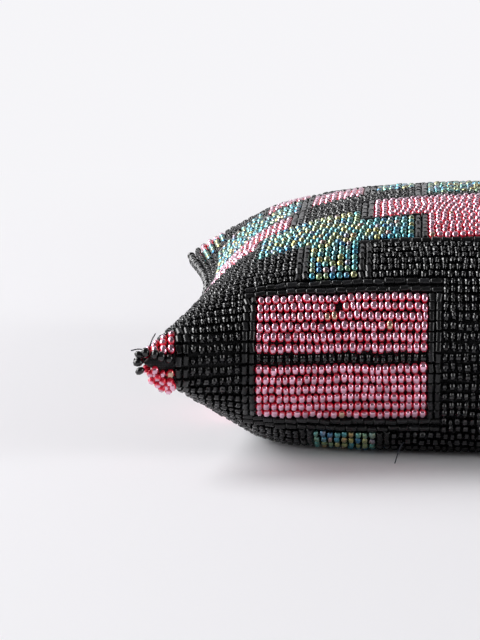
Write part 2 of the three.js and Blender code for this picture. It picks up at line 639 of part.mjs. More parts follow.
// Strap tabs at the ends of the zip, each a loop of cloth holding a ring that hangs down
const ringHole = RING_WIRE * Math.SQRT1_2 + CLEARANCE;
const tabX = slotLength / 2 + TAB_WIDTH / 2 + CLEARANCE;

function tabGeometry() {
  const loop = ringHole + TAB_CLOTH;
  const profile = new THREE.Shape();
  const meet = Math.asin(TAB_CLOTH / loop);
  profile.moveTo(CLEARANCE, -TAB_CLOTH);
  profile.lineTo(TAB_LENGTH - loop * Math.cos(meet), -TAB_CLOTH);
  profile.absarc(TAB_LENGTH, 0, loop, Math.PI + meet, 3 * Math.PI - meet, false);
  profile.lineTo(CLEARANCE, TAB_CLOTH);
  profile.holes.push(new THREE.Path().absarc(TAB_LENGTH, 0, ringHole, 0, 2 * Math.PI, true));
  const tab = new THREE.ExtrudeGeometry(profile, { depth: TAB_WIDTH, curveSegments: 7, bevelEnabled: false });
  return tab.rotateY(Math.PI / 2).rotateX(Math.PI / 2).translate(-TAB_WIDTH / 2, 0, 0);
}

function ringGeometry() {
  const bar = RING_WIRE / 2;
  const side = RING_OPENING / 2;
  const straight = RING_DROP - side;
  const outer = new THREE.Shape();
  outer.moveTo(-side - RING_WIRE + RING_EDGE, bar - RING_EDGE);
  outer.lineTo(side + RING_WIRE - RING_EDGE, bar - RING_EDGE);
  outer.lineTo(side + RING_WIRE - RING_EDGE, -straight);
  outer.absarc(0, -straight, side + RING_WIRE - RING_EDGE, 0, Math.PI, true);
  const hole = new THREE.Path();
  hole.moveTo(-side - RING_EDGE, -bar + RING_EDGE);
  hole.lineTo(-side - RING_EDGE, -straight);
  hole.absarc(0, -straight, side + RING_EDGE, Math.PI, 0, false);
  hole.lineTo(side + RING_EDGE, -bar + RING_EDGE);
  outer.holes.push(hole);
  const wire = new THREE.ExtrudeGeometry(outer, {
    depth: RING_WIRE - 2 * RING_EDGE,
    curveSegments: 6,
    bevelThickness: RING_EDGE,
    bevelSize: RING_EDGE,
    bevelSegments: 1,
  });
  return wire.rotateX(Math.PI / 2).translate(0, RING_WIRE / 2 - RING_EDGE, 0);
}

for (const [side, name] of [[-1, 'left'], [1, 'right']]) {
  const tab = placeZip(`strap_tab_${name}`, tabGeometry(), 'cloth');
  tab.position.x = side * tabX;
  const ring = placeZip(`strap_ring_${name}`, ringGeometry(), 'metal');
  ring.position.set(side * tabX, TAB_LENGTH, 0);
}

// The frame's origin lies under the middle of the whole bag, on the surface that it rests on
bag.updateMatrixWorld(true);
const extent = new THREE.Box3().setFromObject(bag);
const middle = extent.getCenter(new THREE.Vector3());
bag.position.set(-middle.x, -middle.y, -extent.min.z);

export default bag;
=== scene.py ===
"""A small zipped crossbody pouch covered in rows of seed beads, stuffed and lying on its back panel."""

import math

import bpy
import numpy as np
from bpy.props import FloatProperty, FloatVectorProperty, IntProperty, PointerProperty
from bpy.types import Operator, Panel, PropertyGroup
from mathutils import Matrix, Vector


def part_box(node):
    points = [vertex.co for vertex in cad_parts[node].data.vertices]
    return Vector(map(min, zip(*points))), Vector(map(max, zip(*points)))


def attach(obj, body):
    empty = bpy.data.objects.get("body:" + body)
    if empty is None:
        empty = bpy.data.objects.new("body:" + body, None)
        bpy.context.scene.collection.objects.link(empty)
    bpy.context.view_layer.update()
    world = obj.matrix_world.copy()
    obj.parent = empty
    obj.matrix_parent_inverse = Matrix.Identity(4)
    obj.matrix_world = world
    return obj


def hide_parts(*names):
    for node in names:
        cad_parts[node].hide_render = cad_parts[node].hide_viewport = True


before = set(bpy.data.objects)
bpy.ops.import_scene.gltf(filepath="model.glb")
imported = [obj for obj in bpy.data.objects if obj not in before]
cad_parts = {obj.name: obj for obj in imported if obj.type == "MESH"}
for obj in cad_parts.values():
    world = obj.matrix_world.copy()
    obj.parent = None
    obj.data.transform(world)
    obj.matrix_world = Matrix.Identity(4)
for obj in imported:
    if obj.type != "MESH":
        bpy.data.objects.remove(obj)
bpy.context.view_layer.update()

bl_info = {
    "name": "Beaded crossbody bag",
    "version": (1, 0, 0),
    "blender": (4, 5, 0),
    "location": "View3D > Sidebar > Bag",
    "description": "Dresses the frame of a beaded pouch with cloth, beads, zip and stage",
    "category": "Object",
}

MM = 0.001


def length_prop(name, description, millimetres):
    """A length that the panel shows in the scene's unit"""
    return FloatProperty(
        name=name, description=description, default=millimetres * MM, unit="LENGTH", precision=5
    )


def angle_prop(name, description, degrees):
    """An angle that the panel shows in degrees"""
    return FloatProperty(name=name, description=description, default=math.radians(degrees), subtype="ANGLE")


def colour_prop(name, description, colour):
    """A linear colour"""
    return FloatVectorProperty(
        name=name, description=description, default=colour, subtype="COLOR", size=3, min=0, max=1
    )


class PouchSizes(PropertyGroup):
    """The cloth as it was cut, and how the stuffing bends it"""

    flat_width: length_prop("Flat width", "Width of the cloth from seam to seam", 180)
    flat_depth: length_prop("Flat depth", "Depth of each panel from the fold to the zip", 150.7)
    fabric: length_prop("Fabric", "Thickness of the outer fabric", 1.2)
    lining: length_prop("Lining", "Thickness of the lining", 0.5)
    lining_face: length_prop("Lining face", "How far the lining hangs inside the outer face", 1.7)
    lining_side: length_prop("Lining side", "How far the lining stays off the side seams", 6.4)
    lining_end: length_prop("Lining end", "How far the lining reaches from the fold", 140.6)
    seam_allowance: length_prop("Seam allowance", "Width over which the sewn sides taper", 6)
    seam_height: length_prop("Seam height", "Height of the side seams over the floor", 23.5)
    front_swell: length_prop("Front swell", "How far the front panel swells from the seams", 30.8)
    back_swell: length_prop("Back swell", "How far the back panel would swell without the floor", 62)
    front_side: angle_prop("Front side slope", "Slope of the front panel at the side seams", 78)
    back_side: angle_prop("Back side slope", "Slope of the back panel at the side seams", 89)
    front_fold: angle_prop("Front fold slope", "Slope of the front panel at the fold", 87)
    back_fold: angle_prop("Back fold slope", "Slope of the back panel at the fold", 97)
    mouth_slope: angle_prop("Mouth slope", "Slope of both panels at the zip", 50)
    mouth_gap: length_prop("Mouth gap", "How far the panels stand apart at the zip", 12)
    mouth_taper: length_prop("Mouth taper", "Way from the side over which the gap opens", 22)
    corner_reach: length_prop("Corner reach", "Way from a corner over which the sides pull in", 26)
    floor_rounding: length_prop("Floor rounding", "Softness of the turn where the back meets the floor", 2.5)
    tab_cloth: length_prop("Tab cloth", "Thickness of the strap tabs' webbing", 1.2)


class BeadSizes(PropertyGroup):
    """The beads and the grid that they are sewn on"""

    row_pitch: length_prop("Row pitch", "Distance from row to row", 2.2)
    bead_pitch: length_prop("Bead pitch", "Distance from bead to bead in a row", 1.55)
    crest: length_prop("Crest", "Height of the beads over the cloth", 1.75)
    seed_width: length_prop("Seed width", "Width of a black or teal seed bead across its row", 2.18)
    pink_width: length_prop("Pink width", "Width of a pink seed bead across its row", 2.32)
    bugle_length: length_prop("Bugle length", "Length of a bugle bead that lies along its row", 2.35)
    bugle_width: length_prop("Bugle width", "Thickness of a bugle bead", 1.55)
    rope_bead: length_prop("Rope bead", "Diameter of the beads on the side ropes", 2.1)
    wander: length_prop("Wander", "How far a bead strays from its place", 0.09)
    sway: length_prop("Sway", "How far a row strays from a straight line", 0.3)
    chance: IntProperty(name="Chance", description="Start of the random numbers", default=11, min=0)


class Finishes(PropertyGroup):
    """The main colours"""

    cloth: colour_prop("Cloth", "Outer fabric, tapes and tabs", (0.012, 0.012, 0.014))
    lining: colour_prop("Lining", "Lining", (0.03, 0.026, 0.03))
    black: colour_prop("Black", "Black seed beads", (0.003, 0.003, 0.004))
    bugle: colour_prop("Bugle", "Bugle beads", (0.007, 0.007, 0.008))
    pink: colour_prop("Pink", "Silvery crown of a pink bead", (0.73, 0.41, 0.54))
    red: colour_prop("Red", "Rim and ends of a pink bead", (0.85, 0.012, 0.05))
    gold: colour_prop("Gold", "Golden beads among the pink ones", (0.52, 0.37, 0.27))
    teal: colour_prop("Teal", "Main tone of the iris-coated beads", (0.12, 0.42, 0.45))
    thread: colour_prop("Thread", "Sewing thread", (0.03, 0.035, 0.05))
    metal: colour_prop("Metal", "Rings, slider, pull and stops", (0.5, 0.5, 0.52))
    teeth: colour_prop("Teeth", "Teeth of the zip", (0.02, 0.02, 0.022))
    floor: colour_prop("Floor", "Floor near the bag", (0.85, 0.84, 0.87))
    backdrop: colour_prop("Backdrop", "Floor and backdrop far behind the bag", (0.92, 0.915, 0.94))


COLUMNS = 116
LAST_ROW = 68
BLACK, PINK, TEAL, UPRIGHT, LYING, BARE = range(6)

# Blocks of the pattern, mirrored, on both panels: kind, columns from the side seam, rows from the fold
BLOCKS = [
    (LYING, 13, 40, 7, 8),
    (UPRIGHT, 13, 14, 0, 6),
    (PINK, 15, 38, 1, 6),
    (UPRIGHT, 39, 40, 0, 6),
    (UPRIGHT, 20, 21, 9, 15),
    (TEAL, 22, 28, 9, 15),
    (UPRIGHT, 29, 30, 9, 14),
    (LYING, 29, 57, 15, 15),
    (TEAL, 14, 36, 16, 21),
    (TEAL, 14, 28, 22, 25),
    (UPRIGHT, 37, 38, 16, 21),
    (LYING, 29, 38, 22, 22),
    (PINK, 39, 57, 16, 22),
    (PINK, 31, 57, 23, 30),
    (UPRIGHT, 29, 30, 23, 30),
    (LYING, 29, 57, 31, 31),
    (LYING, 13, 18, 26, 26),
    (LYING, 3, 13, 22, 22),
    (PINK, 3, 12, 23, 26),
    (PINK, 4, 17, 27, 33),
    (UPRIGHT, 18, 19, 27, 33),
    (LYING, 3, 19, 34, 35),
    (TEAL, 3, 18, 36, 44),
    (UPRIGHT, 19, 20, 36, 45),
    (PINK, 21, 28, 37, 45),
    (UPRIGHT, 29, 30, 37, 45),
    (LYING, 3, 30, 46, 46),
    (TEAL, 3, 11, 45, 52),
    (LYING, 3, 12, 53, 53),
    (TEAL, 1, 4, 57, 62),
    (PINK, 1, 4, 63, 66),
    (PINK, 13, 19, 48, 55),
    (UPRIGHT, 20, 21, 47, 55),
    (TEAL, 31, 36, 39, 45),
    (LYING, 31, 36, 46, 46),
    (UPRIGHT, 37, 38, 32, 44),
    (TEAL, 39, 57, 33, 44),
    (LYING, 37, 57, 45, 46),
    (UPRIGHT, 37, 38, 48, 57),
    (PINK, 39, 57, 48, 57),
    (LYING, 37, 57, 58, 58),
]
# The drawn corners and the underside at the fold, with the rows of both panels counted through
CORNER_BLOCKS = [
    (UPRIGHT, 4, 5, -6, 3),
    (PINK, 0, 3, -4, 3),
    (BARE, 0, 3, 0, 0),
    (BLACK, 20, 20, -15, -9),
    (UPRIGHT, 21, 22, -15, -9),
    (TEAL, 23, 31, -14, -9),
    (UPRIGHT, 32, 33, -15, -9),
]
# Pink beads sewn over the first layer under each drawn corner: column, row and height in crests
CORNER_PINKS = [
    (0.9, -0.55, 0.5), (0.55, -0.8, 0.7), (1.0, -1.3, 1.35), (2.0, -1.45, 1.15),
    (2.9, -1.6, 1.05), (1.4, -1.1, 0.9), (2.2, -1.9, 1.75), (3.0, -2.4, 1.6),
    (2.6, -2.0, 1.35), (3.3, -2.1, 1.2), (1.7, -1.6, 1.5),
]
# Cells whose bead is lost: column and row
LOST_BEADS = [(26, 5), (71, -3)]

# The front pieces reach round the fold to where the bag rests
FOLD_ROWS = 12
PANELS = (("front", -FOLD_ROWS, LAST_ROW), ("back", -LAST_ROW, -FOLD_ROWS - 1))
# Sides of each kind of bead, bevel at its ends, and how far its corners are drawn together outwards
SEED_SIDES, COLOUR_SIDES = {"front": 7, "back": 5}, {"front": 8, "back": 5}
BUGLE_SIDES, ROPE_SIDES = 7, 12
SEED_SHOULDER, COLOUR_SHOULDER, ROPE_SHOULDER, BUGLE_SHOULDER = 0.24, 0.28, 0.27, 0.07
CROWDING = math.radians(15)
# Crown of a bead: heights where it starts and is full, where it ends along the bead, what is left there
CROWN_LOW, CROWN_HIGH, CROWN_END, CROWN_LEFT = 0.15, 0.8, 0.3, 0.15

# Row sway: wave lengths in metres, their shares, and how far a wave drifts from one row to the next
SWAY_LENGTHS = np.array([0.055, 0.023, 0.011])
SWAY_SHARES = np.array([0.45, 0.35, 0.2])
SWAY_DRIFT = 0.6

# How many beads a run of cells gets, as shares of what fits
COUNT_VARIES = (0.97, 1.03)
# How beads differ: spread about 1, lowest and highest share
LENGTH_VARIES = (0.09, 0.75, 1.3)
HEIGHT_VARIES = (0.04, 0.9, 1.08)
WIDTH_VARIES = (0.05, 0.86, 1.12)
BUGLE_VARIES = (0.03, 0.9, 1.04)
ROPE_WIDTH_SPREAD, ROPE_LENGTH_SPREAD = 0.05, 0.04
# How far beads stand off the cloth, in the wander of a bead
LOOSE_SHARE = 0.6
# Random turns of beads about their thread, and their tilts
SEED_TURN, BUGLE_TURN = math.radians(5), math.radians(9)
BEAD_TILT, CORNER_TILT, ROPE_TILT = math.radians(4), math.radians(9), math.radians(6)
# Share of its place along the thread that a bead fills
SEED_FILL, UPRIGHT_FILL, LYING_FILL, ROPE_FILL = 0.97, 0.94, 0.92, 0.95
# Distance of the beads on the side seams and round the drawn corners, in rope beads, and the seam's gap
SEAM_SHARE, CORNER_SHARE = 0.86, 0.78
SEAM_GAP = 0.3 * MM
SEAM_POINTS, ROPE_STEPS = 200, 24
# Random streams of the ropes and of the corner beads
ROPE_CHANCE, CORNER_CHANCE = 7, 9

# The rope that edges each drawn corner: column, row and height over the cloth in rope radii
CORNER_ROPE = [(3.6, 0.15, 1.0), (2.7, 0.4, 1.3), (1.8, 0.45, 1.5), (0.9, 0.45, 1.7), (0.1, 0.3, 1.9)]
# Its turn under the tip: the way inwards, along Y and up in millimetres
CORNER_TURN = [(-0.3, -0.3, -1.6), (-0.1, -0.8, -3.0), (0.6, -1.2, -4.2)]

# Loose ends of thread: column and row where each leaves the cloth, and the way of its tip in millimetres
THREAD_ENDS = [
    ((0.4, 0.9), (-3.9, -0.8, 0.4)),
    ((0.2, 2.0), (1.5, 0.2, 3.7)),
    ((35.5, -10.0), (-2.0, -6.0, -3.6)),
]
THREAD_RADIUS = 0.13 * MM
# Where a thread end starts, in crests over the cloth, its sag as a share of its length, and its steps
THREAD_START, THREAD_SAG, THREAD_STEPS = 0.6, 0.12, 5

# Cuts of each sheet across and along, how they crowd at the fold, and the thinnest share of a sewn side
FABRIC_CUTS, LINING_CUTS, TAPE_CUTS, TAB_CUTS = (72, 126), (40, 70), (140, 6), (10, 72)
FOLD_CROWDING, SEWN_SHARE = 1.3, 0.05
# Most of a panel's swell that the gap at the zip may take
MOUTH_SHARE = 0.8
# Sewing on tapes and tabs: length of a stitch, its thickness, the way from one to the next and its bevel
STITCH_LENGTH, STITCH_WIDTH, STITCH_PITCH, STITCH_EDGE = 2.1 * MM, 0.4 * MM, 2.8 * MM, 0.3
# Place of the seam across a tape, from its inner edge
TAPE_SEAM = 0.75
# Tabs: wall as a share of the cloth, the seam's place on the leg, and its stitches: how many and how long
TAB_WALL, TAB_SEAM, TAB_STITCHES, TAB_STITCH = 0.92, 0.7, 4, 0.6
# Points along a ring's rounded corner and along its bow
CORNER_POINTS, BOW_POINTS = 5, 25
# Edges of rigid pieces: width broken off, turn that counts as flat, and turns that are shaded smooth
EASED_EDGE, FLAT_TURN = 0.12 * MM, math.radians(1)
EASED_SMOOTH, TAB_SMOOTH, TUBE_SMOOTH = math.radians(35), math.radians(40), math.radians(60)

# Soft panels round the bag: place, width and height in metres, power in watts
LIGHTS = [
    ("panel_left", (-0.9, -0.25, 0.3), (0.42, 0.56), 5.4),
    ("panel_right", (0.9, -0.25, 0.3), (0.42, 0.56), 3.6),
    ("key", (-1.9, 0.75, 1.5), (1.5, 1.5), 72.0),
]
# The point that the panels face
LIT_POINT = Vector((0, 0, 0.02))
WORLD_STRENGTH = 0.11
# The floor, in metres, and the distances from the bag over which it turns into the plain backdrop
FLOOR_SIZE, BACKDROP_HEIGHT, SWEEP_RADIUS = 8, 4, 1.2
FLOOR_NEAR, FLOOR_FAR = 0.1, 0.45
# Camera, with its focal length and the picture's longer side in pixels and its sensor in millimetres
CAMERA_PLACE = Vector((-0.03447, -0.62787, 0.13641))
CAMERA_YAW, CAMERA_PITCH, CAMERA_ROLL = math.radians(3.623), math.radians(10.584), math.radians(0.320)
FOCAL_PIXELS = 2644.6
LONG_SIDE_PIXELS = 640
SENSOR_WIDTH = 36.0


# The form of the stuffed cloth


def rise_series(a):
    """Rise of a cloth whose slope dies away from the angle a, per unit of bending length"""
    return a - a**3 / 18 + a**5 / 600 - a**7 / 35280


def short_series(a):
    """How much shorter that cloth gets"""
    return a**2 / 4 - a**4 / 96 + a**6 / 4320 - a**8 / 322560


def fade(slope, length, way):
    """The slope that is left after a way along the cloth"""
    return slope * np.exp(-way / np.maximum(length, 1e-6))


def share_of_rise(way, slope, length, whole):
    """How much of the whole rise is reached after a way"""
    full = rise_series(slope) - rise_series(fade(slope, length, whole))
    return (rise_series(slope) - rise_series(fade(slope, length, way))) / full


def shortening(way, slope, length):
    """How much shorter the cloth is after a way"""
    return length * (short_series(slope) - short_series(fade(slope, length, way)))


def way_to_share(share, slope, length, whole, steps=8):
    """Where along the cloth its rise reaches a share, by Newton's steps on the slope there"""
    end = fade(slope, length, whole)
    target = rise_series(slope) - share * (rise_series(slope) - rise_series(end))
    a = slope * (1 - share) + end * share
    for _ in range(steps):
        a = a - (rise_series(a) - target) / (np.sin(a) / a)
    return length * np.log(slope / a)


class PouchForm:
    """The stuffed cloth as a surface: u runs across it, v along it from the fold, front panel positive"""

    def __init__(self, sizes, crest):
        self.half = sizes.flat_width / 2
        self.depth = sizes.flat_depth
        self.seam = sizes.seam_height
        self.crest = crest
        self.front = (sizes.front_swell, sizes.front_side, sizes.front_fold)
        self.back = (sizes.back_swell, sizes.back_side, sizes.back_fold)
        self.mouth_slope = sizes.mouth_slope
        self.mouth_gap = sizes.mouth_gap
        self.mouth_taper = sizes.mouth_taper
        self.corner_reach = sizes.corner_reach
        self.rounding = sizes.floor_rounding
        middle = np.zeros(1)
        self.mouth_y = float(self.loose_reach(middle, self.depth, self.bend(middle, self.front))[0])
        self.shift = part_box("outer_fabric")[1].y - self.mouth_y

    def bend(self, u, panel):
        """Swell and bending lengths of a panel across the bag, and where the back panel meets the floor"""
        swell, side, fold_slope = panel
        inset = self.half - np.abs(u)
        height = swell * share_of_rise(inset, side, swell / rise_series(side), self.half)
        gap = np.minimum(self.mouth_gap / 2 * np.minimum(1, inset / self.mouth_taper), MOUTH_SHARE * height)
        fold = height / rise_series(fold_slope)
        mouth = (height - gap) / rise_series(self.mouth_slope)
        free = np.full_like(inset, self.depth)
        bent = {"inset": inset, "height": height, "gap": gap, "fold": fold, "mouth": mouth}
        bent.update(slope=fold_slope, fold_free=free, mouth_free=free)
        if panel is self.back:
            drop = self.seam - self.crest
            low = height > drop + self.rounding
            tall = np.where(low, height, 2 * drop)
            fold_way = way_to_share(drop / tall, fold_slope, fold, self.depth)
            mouth_way = way_to_share((drop - gap) / (tall - gap), self.mouth_slope, mouth, self.depth)
            bent["fold_free"] = np.where(low, fold_way, free)
            bent["mouth_free"] = np.where(low, mouth_way, free)
        return bent

    def loose_reach(self, u, s, bent):
        """How far along Y the cloth reaches before the mouth is drawn straight"""
        front_fold = self.front[2]
        start = -self.depth / 2 + self.bend(u, self.front)["fold"] * short_series(front_fold)
        near_fold = shortening(np.minimum(s, bent["fold_free"]), bent["slope"], bent["fold"])
        to_mouth = shortening(bent["mouth_free"], self.mouth_slope, bent["mouth"])
        left = np.minimum(self.depth - s, bent["mouth_free"])
        return start + s - near_fold - to_mouth + shortening(left, self.mouth_slope, bent["mouth"])

    def panel(self, u, s, panel):
        """Points of one panel"""
        bent = self.bend(u, panel)
        leaving = share_of_rise(s, bent["slope"], bent["fold"], self.depth)
        closing = 1 - share_of_rise(self.depth - s, self.mouth_slope, bent["mouth"], self.depth)
        lift = bent["height"] * leaving - (bent["height"] - bent["gap"]) * closing
        t = np.maximum(0, 2 * s / self.depth - 1)
        far = t * t * (3 - 2 * t)
        drawn = self.mouth_y - self.loose_reach(u, self.depth, bent)
        y = self.loose_reach(u, s, bent) + far * drawn + self.shift
        near_end = 1 - np.exp(-s / self.corner_reach)
        far_end = 1 - np.exp((s - self.depth) / self.corner_reach)
        swell, side, _ = self.front
        length = swell / rise_series(side)
        pulled = shortening(self.half, side, length) - shortening(bent["inset"], side, length)
        x = np.sign(u) * (np.abs(u) - (near_end * far_end) ** 2 * pulled)
        if panel is self.front:
            return np.stack([x, y, self.seam + lift], -1)
        above = self.seam - lift - self.crest
        pressed = np.maximum(0, above + self.rounding) ** 2 / (4 * self.rounding)
        return np.stack([x, y, self.crest + np.where(above < self.rounding, pressed, above)], -1)

    def cloth(self, u, v):
        """Points on the outer face of the cloth"""
        u, v = np.broadcast_arrays(np.asarray(u, float), np.asarray(v, float))
        front = (v >= 0)[..., None]
        return np.where(front, self.panel(u, np.abs(v), self.front), self.panel(u, np.abs(v), self.back))

    def frames(self, u, v, step=0.4 * MM):
        """Unit vectors across, along and out of the cloth, as the columns of a matrix for each point"""
        u = np.clip(u, -self.half + step, self.half - step)
        v = np.clip(v, -self.depth + step, self.depth - step)
        across = self.cloth(u + step, v) - self.cloth(u - step, v)
        along = self.cloth(u, v + step) - self.cloth(u, v - step)
        out = np.cross(across, along)
        across = across / np.linalg.norm(across, axis=-1, keepdims=True)
        out = out / np.linalg.norm(out, axis=-1, keepdims=True)
        return np.stack([across, np.cross(out, across), out], -1)

    def off(self, u, v, lift):
        """Points at a height off the cloth"""
        return self.cloth(u, v) + np.asarray(lift)[..., None] * self.frames(u, v)[..., 2]


# Finishes

# Colour sockets of a mix node, by number
MIX_FACTOR, MIX_FIRST, MIX_SECOND, MIX_RESULT = 0, 6, 7, 2


class Finish:
    """A node material: its main shader and the nodes that feed it"""

    def __init__(self, name, settings):
        self.material = bpy.data.materials.new(name)
        self.material.use_nodes = True
        self.tree = self.material.node_tree
        self.shader = self.tree.nodes["Principled BSDF"]
        self.dress({"Coat Roughness": 0.06, **settings})

    def dress(self, inputs):
        """Sets or links inputs of the main shader"""
        self.feed(self.shader, inputs)
        return self.material

    def feed(self, node, inputs):
        """Sets or links inputs of a node, by name or number"""
        for key, value in inputs.items():
            socket = node.inputs[key]
            if isinstance(value, bpy.types.NodeSocket):
                self.tree.links.new(value, socket)
            elif socket.type == "RGBA":
                socket.default_value = (*value, 1.0)
            else:
                socket.default_value = value

    def node(self, kind, inputs=None, **settings):
        """A new node with its settings and inputs"""
        node = self.tree.nodes.new("ShaderNode" + kind)
        for name, value in settings.items():
            setattr(node, name, value)
        self.feed(node, inputs or {})
        return node

    def attribute(self, name):
        """The factor of one of the piece's own attributes"""
        return self.node("Attribute", attribute_name=name).outputs["Fac"]

    def place(self, coordinate="Object"):
        """The place on the piece"""
        return self.node("TexCoord").outputs[coordinate]

    def noise(self, scale, detail=2.0):
        """Soft noise over the piece"""
        inputs = {"Scale": scale, "Detail": detail, "Vector": self.place()}
        return self.node("TexNoise", inputs).outputs["Fac"]

    def spread(self, factor, low, high):
        """A factor brought between two values"""
        inputs = {"Value": factor, "From Min": 0.3, "From Max": 0.7, "To Min": low, "To Max": high}
        return self.node("MapRange", inputs).outputs["Result"]

    def calculate(self, operation, first, second):
        """Two factors put together"""
        return self.node("Math", {0: first, 1: second}, operation=operation).outputs["Value"]

    def ramp(self, factor, stops):
        """A row of colours along a factor"""
        node = self.node("ValToRGB", {"Fac": factor})
        elements = node.color_ramp.elements
        while len(elements) < len(stops):
            elements.new(1.0)
        for element, (place, colour) in zip(elements, stops):
            element.position = place
            element.color = (*colour, 1.0)
        return node.outputs["Color"]

    def mix(self, factor, first, second, blend="MIX"):
        """Two colours mixed by a factor; each may be a socket or a constant"""
        inputs = {MIX_FACTOR: factor, MIX_FIRST: first, MIX_SECOND: second}
        return self.node("Mix", inputs, data_type="RGBA", blend_type=blend).outputs[MIX_RESULT]

    def clouded(self, colour, scale, low, high):
        """A colour that wanders between a darker and a lighter tone"""
        return self.mix(self.spread(self.noise(scale), 0.0, 1.0), scaled(colour, low), scaled(colour, high))

    def relief(self, height, strength, distance):
        """A relief on the main shader"""
        inputs = {"Height": height, "Strength": strength, "Distance": distance}
        self.dress({"Normal": self.node("Bump", inputs).outputs["Normal"]})


def scaled(colour, factor):
    """A colour made lighter or darker"""
    return tuple(min(1.0, c * factor) for c in colour)


def finish_of(make, scene):
    """A finish that is made once and then shared"""
    return bpy.data.materials.get(make.__name__) or make(scene.bag_finishes)


def pink_glass(colours):
    """Silver-lined red glass: a bright lilac crown in a crimson rim, now and then a golden bead"""
    glass = Finish("pink_glass", {"Coat Weight": 0.6})
    crown = glass.attribute("crown")
    pale = glass.ramp(glass.attribute("tint"), [
        (0.0, scaled(colours.pink, 0.7)), (0.3, colours.pink), (0.6, scaled(colours.pink, 1.15)),
        (0.97, scaled(colours.pink, 1.2)), (0.985, colours.gold),
    ])
    lined = glass.ramp(crown, [(0.25, (0.0, 0.0, 0.0)), (0.8, (1.0, 1.0, 1.0))])
    return glass.dress({
        "Base Color": glass.mix(lined, colours.red, pale),
        "Metallic": glass.spread(crown, 0.1, 0.85),
        "Roughness": glass.spread(glass.noise(900), 0.1, 0.22),
    })


def teal_glass(colours):
    """Iris-coated glass: each bead its own mix of teal, blue, green, gold and violet, with painted shade
    towards its ends and underside
    """
    glass = Finish("teal_glass", {"Metallic": 0.95, "Coat Weight": 0.3})
    base = glass.ramp(glass.attribute("tint"), [
        (0.0, (0.04, 0.14, 0.42)), (0.12, (0.06, 0.3, 0.46)), (0.3, colours.teal),
        (0.45, (0.18, 0.42, 0.35)), (0.58, (0.36, 0.4, 0.16)), (0.7, (0.62, 0.46, 0.13)),
        (0.8, (0.4, 0.42, 0.18)), (0.9, (0.07, 0.22, 0.46)), (0.96, (0.48, 0.24, 0.28)),
        (1.0, (0.62, 0.38, 0.12)),
    ])
    shimmer = glass.ramp(glass.noise(900, 1.0), [
        (0.3, (0.04, 0.22, 0.34)), (0.5, (0.13, 0.36, 0.31)), (0.7, (0.5, 0.38, 0.12)),
    ])
    # Painted shade: the bead's colour is darkened towards its ends and underside, where it meets its
    # neighbours and the cloth
    rim = glass.ramp(glass.attribute("crown"), [(0.1, (0.1, 0.2, 0.2)), (0.65, (1.0, 1.0, 1.0))])
    return glass.dress({
        "Base Color": glass.mix(1.0, glass.mix(0.3, base, shimmer), rim, "MULTIPLY"),
        "Roughness": glass.spread(glass.noise(1200), 0.2, 0.34),
    })


def dark_glass(name, settings, shades, scale, low, high):
    """Dark glass, a little brighter or duller from bead to bead"""
    glass = Finish(name, settings)
    return glass.dress({
        "Base Color": glass.ramp(glass.attribute("tint"), shades),
        "Roughness": glass.spread(glass.noise(scale), low, high),
    })


def black_glass(colours):
    """Glossy black glass of the seed beads"""
    shades = [(0.0, scaled(colours.black, 0.5)), (1.0, scaled(colours.black, 1.6))]
    return dark_glass("black_glass", {"Coat Weight": 0.22}, shades, 800, 0.07, 0.18)


def bugle_glass(colours):
    """Satin black cut glass with bright edges"""
    shades = [(0.0, scaled(colours.bugle, 0.5)), (0.75, colours.bugle), (1.0, scaled(colours.bugle, 3.0))]
    return dark_glass("bugle_glass", {"Specular IOR Level": 0.4}, shades, 600, 0.2, 0.34)


def spun_thread(colours):
    """Twisted sewing thread"""
    thread = Finish("spun_thread", {"Roughness": 0.7})
    return thread.dress({"Base Color": thread.clouded(colours.thread, 4000, 0.5, 1.6)})


def woven(name, colour, pitch, sheen=0.3):
    """Plain weave on the piece's own map, in metres along the threads"""
    cloth = Finish(name, {"Roughness": 0.85, "Sheen Weight": sheen})
    waves = {"Scale": math.pi / (10 * pitch), "Distortion": 0.4, "Detail": 1.0, "Vector": cloth.place("UV")}
    threads = [cloth.node("TexWave", waves, bands_direction=way).outputs["Fac"] for way in ("X", "Y")]
    crossing = cloth.calculate("MULTIPLY", *threads)
    shade = cloth.mix(crossing, scaled(colour, 0.55), scaled(colour, 1.5))
    cloth.relief(crossing, 0.6, 0.0002)
    worn = cloth.spread(cloth.noise(60), 0.0, 0.4)
    return cloth.dress({"Base Color": cloth.mix(worn, shade, scaled(colour, 2.0))})


def brushed_metal(colours):
    """Dark nickel with fine brushing and wear"""
    metal = Finish("brushed_metal", {"Metallic": 1.0})
    streaks = metal.node("Mapping", {"Vector": metal.place(), "Scale": (150, 1500, 1500)}).outputs["Vector"]
    grain = metal.node("TexNoise", {"Vector": streaks, "Scale": 1.0, "Detail": 3.0}).outputs["Fac"]
    metal.relief(grain, 0.15, 0.00005)
    return metal.dress({
        "Base Color": metal.clouded(colours.metal, 400, 0.75, 1.15),
        "Roughness": metal.spread(grain, 0.2, 0.42),
    })


def moulded_plastic(colours):
    """Moulded black plastic of the zip's teeth"""
    plastic = Finish("moulded_plastic", {})
    grain = plastic.noise(2500, 3.0)
    plastic.relief(grain, 0.1, 0.00004)
    return plastic.dress({
        "Base Color": plastic.clouded(colours.teeth, 300, 0.7, 1.5),
        "Roughness": plastic.spread(grain, 0.3, 0.5),
    })


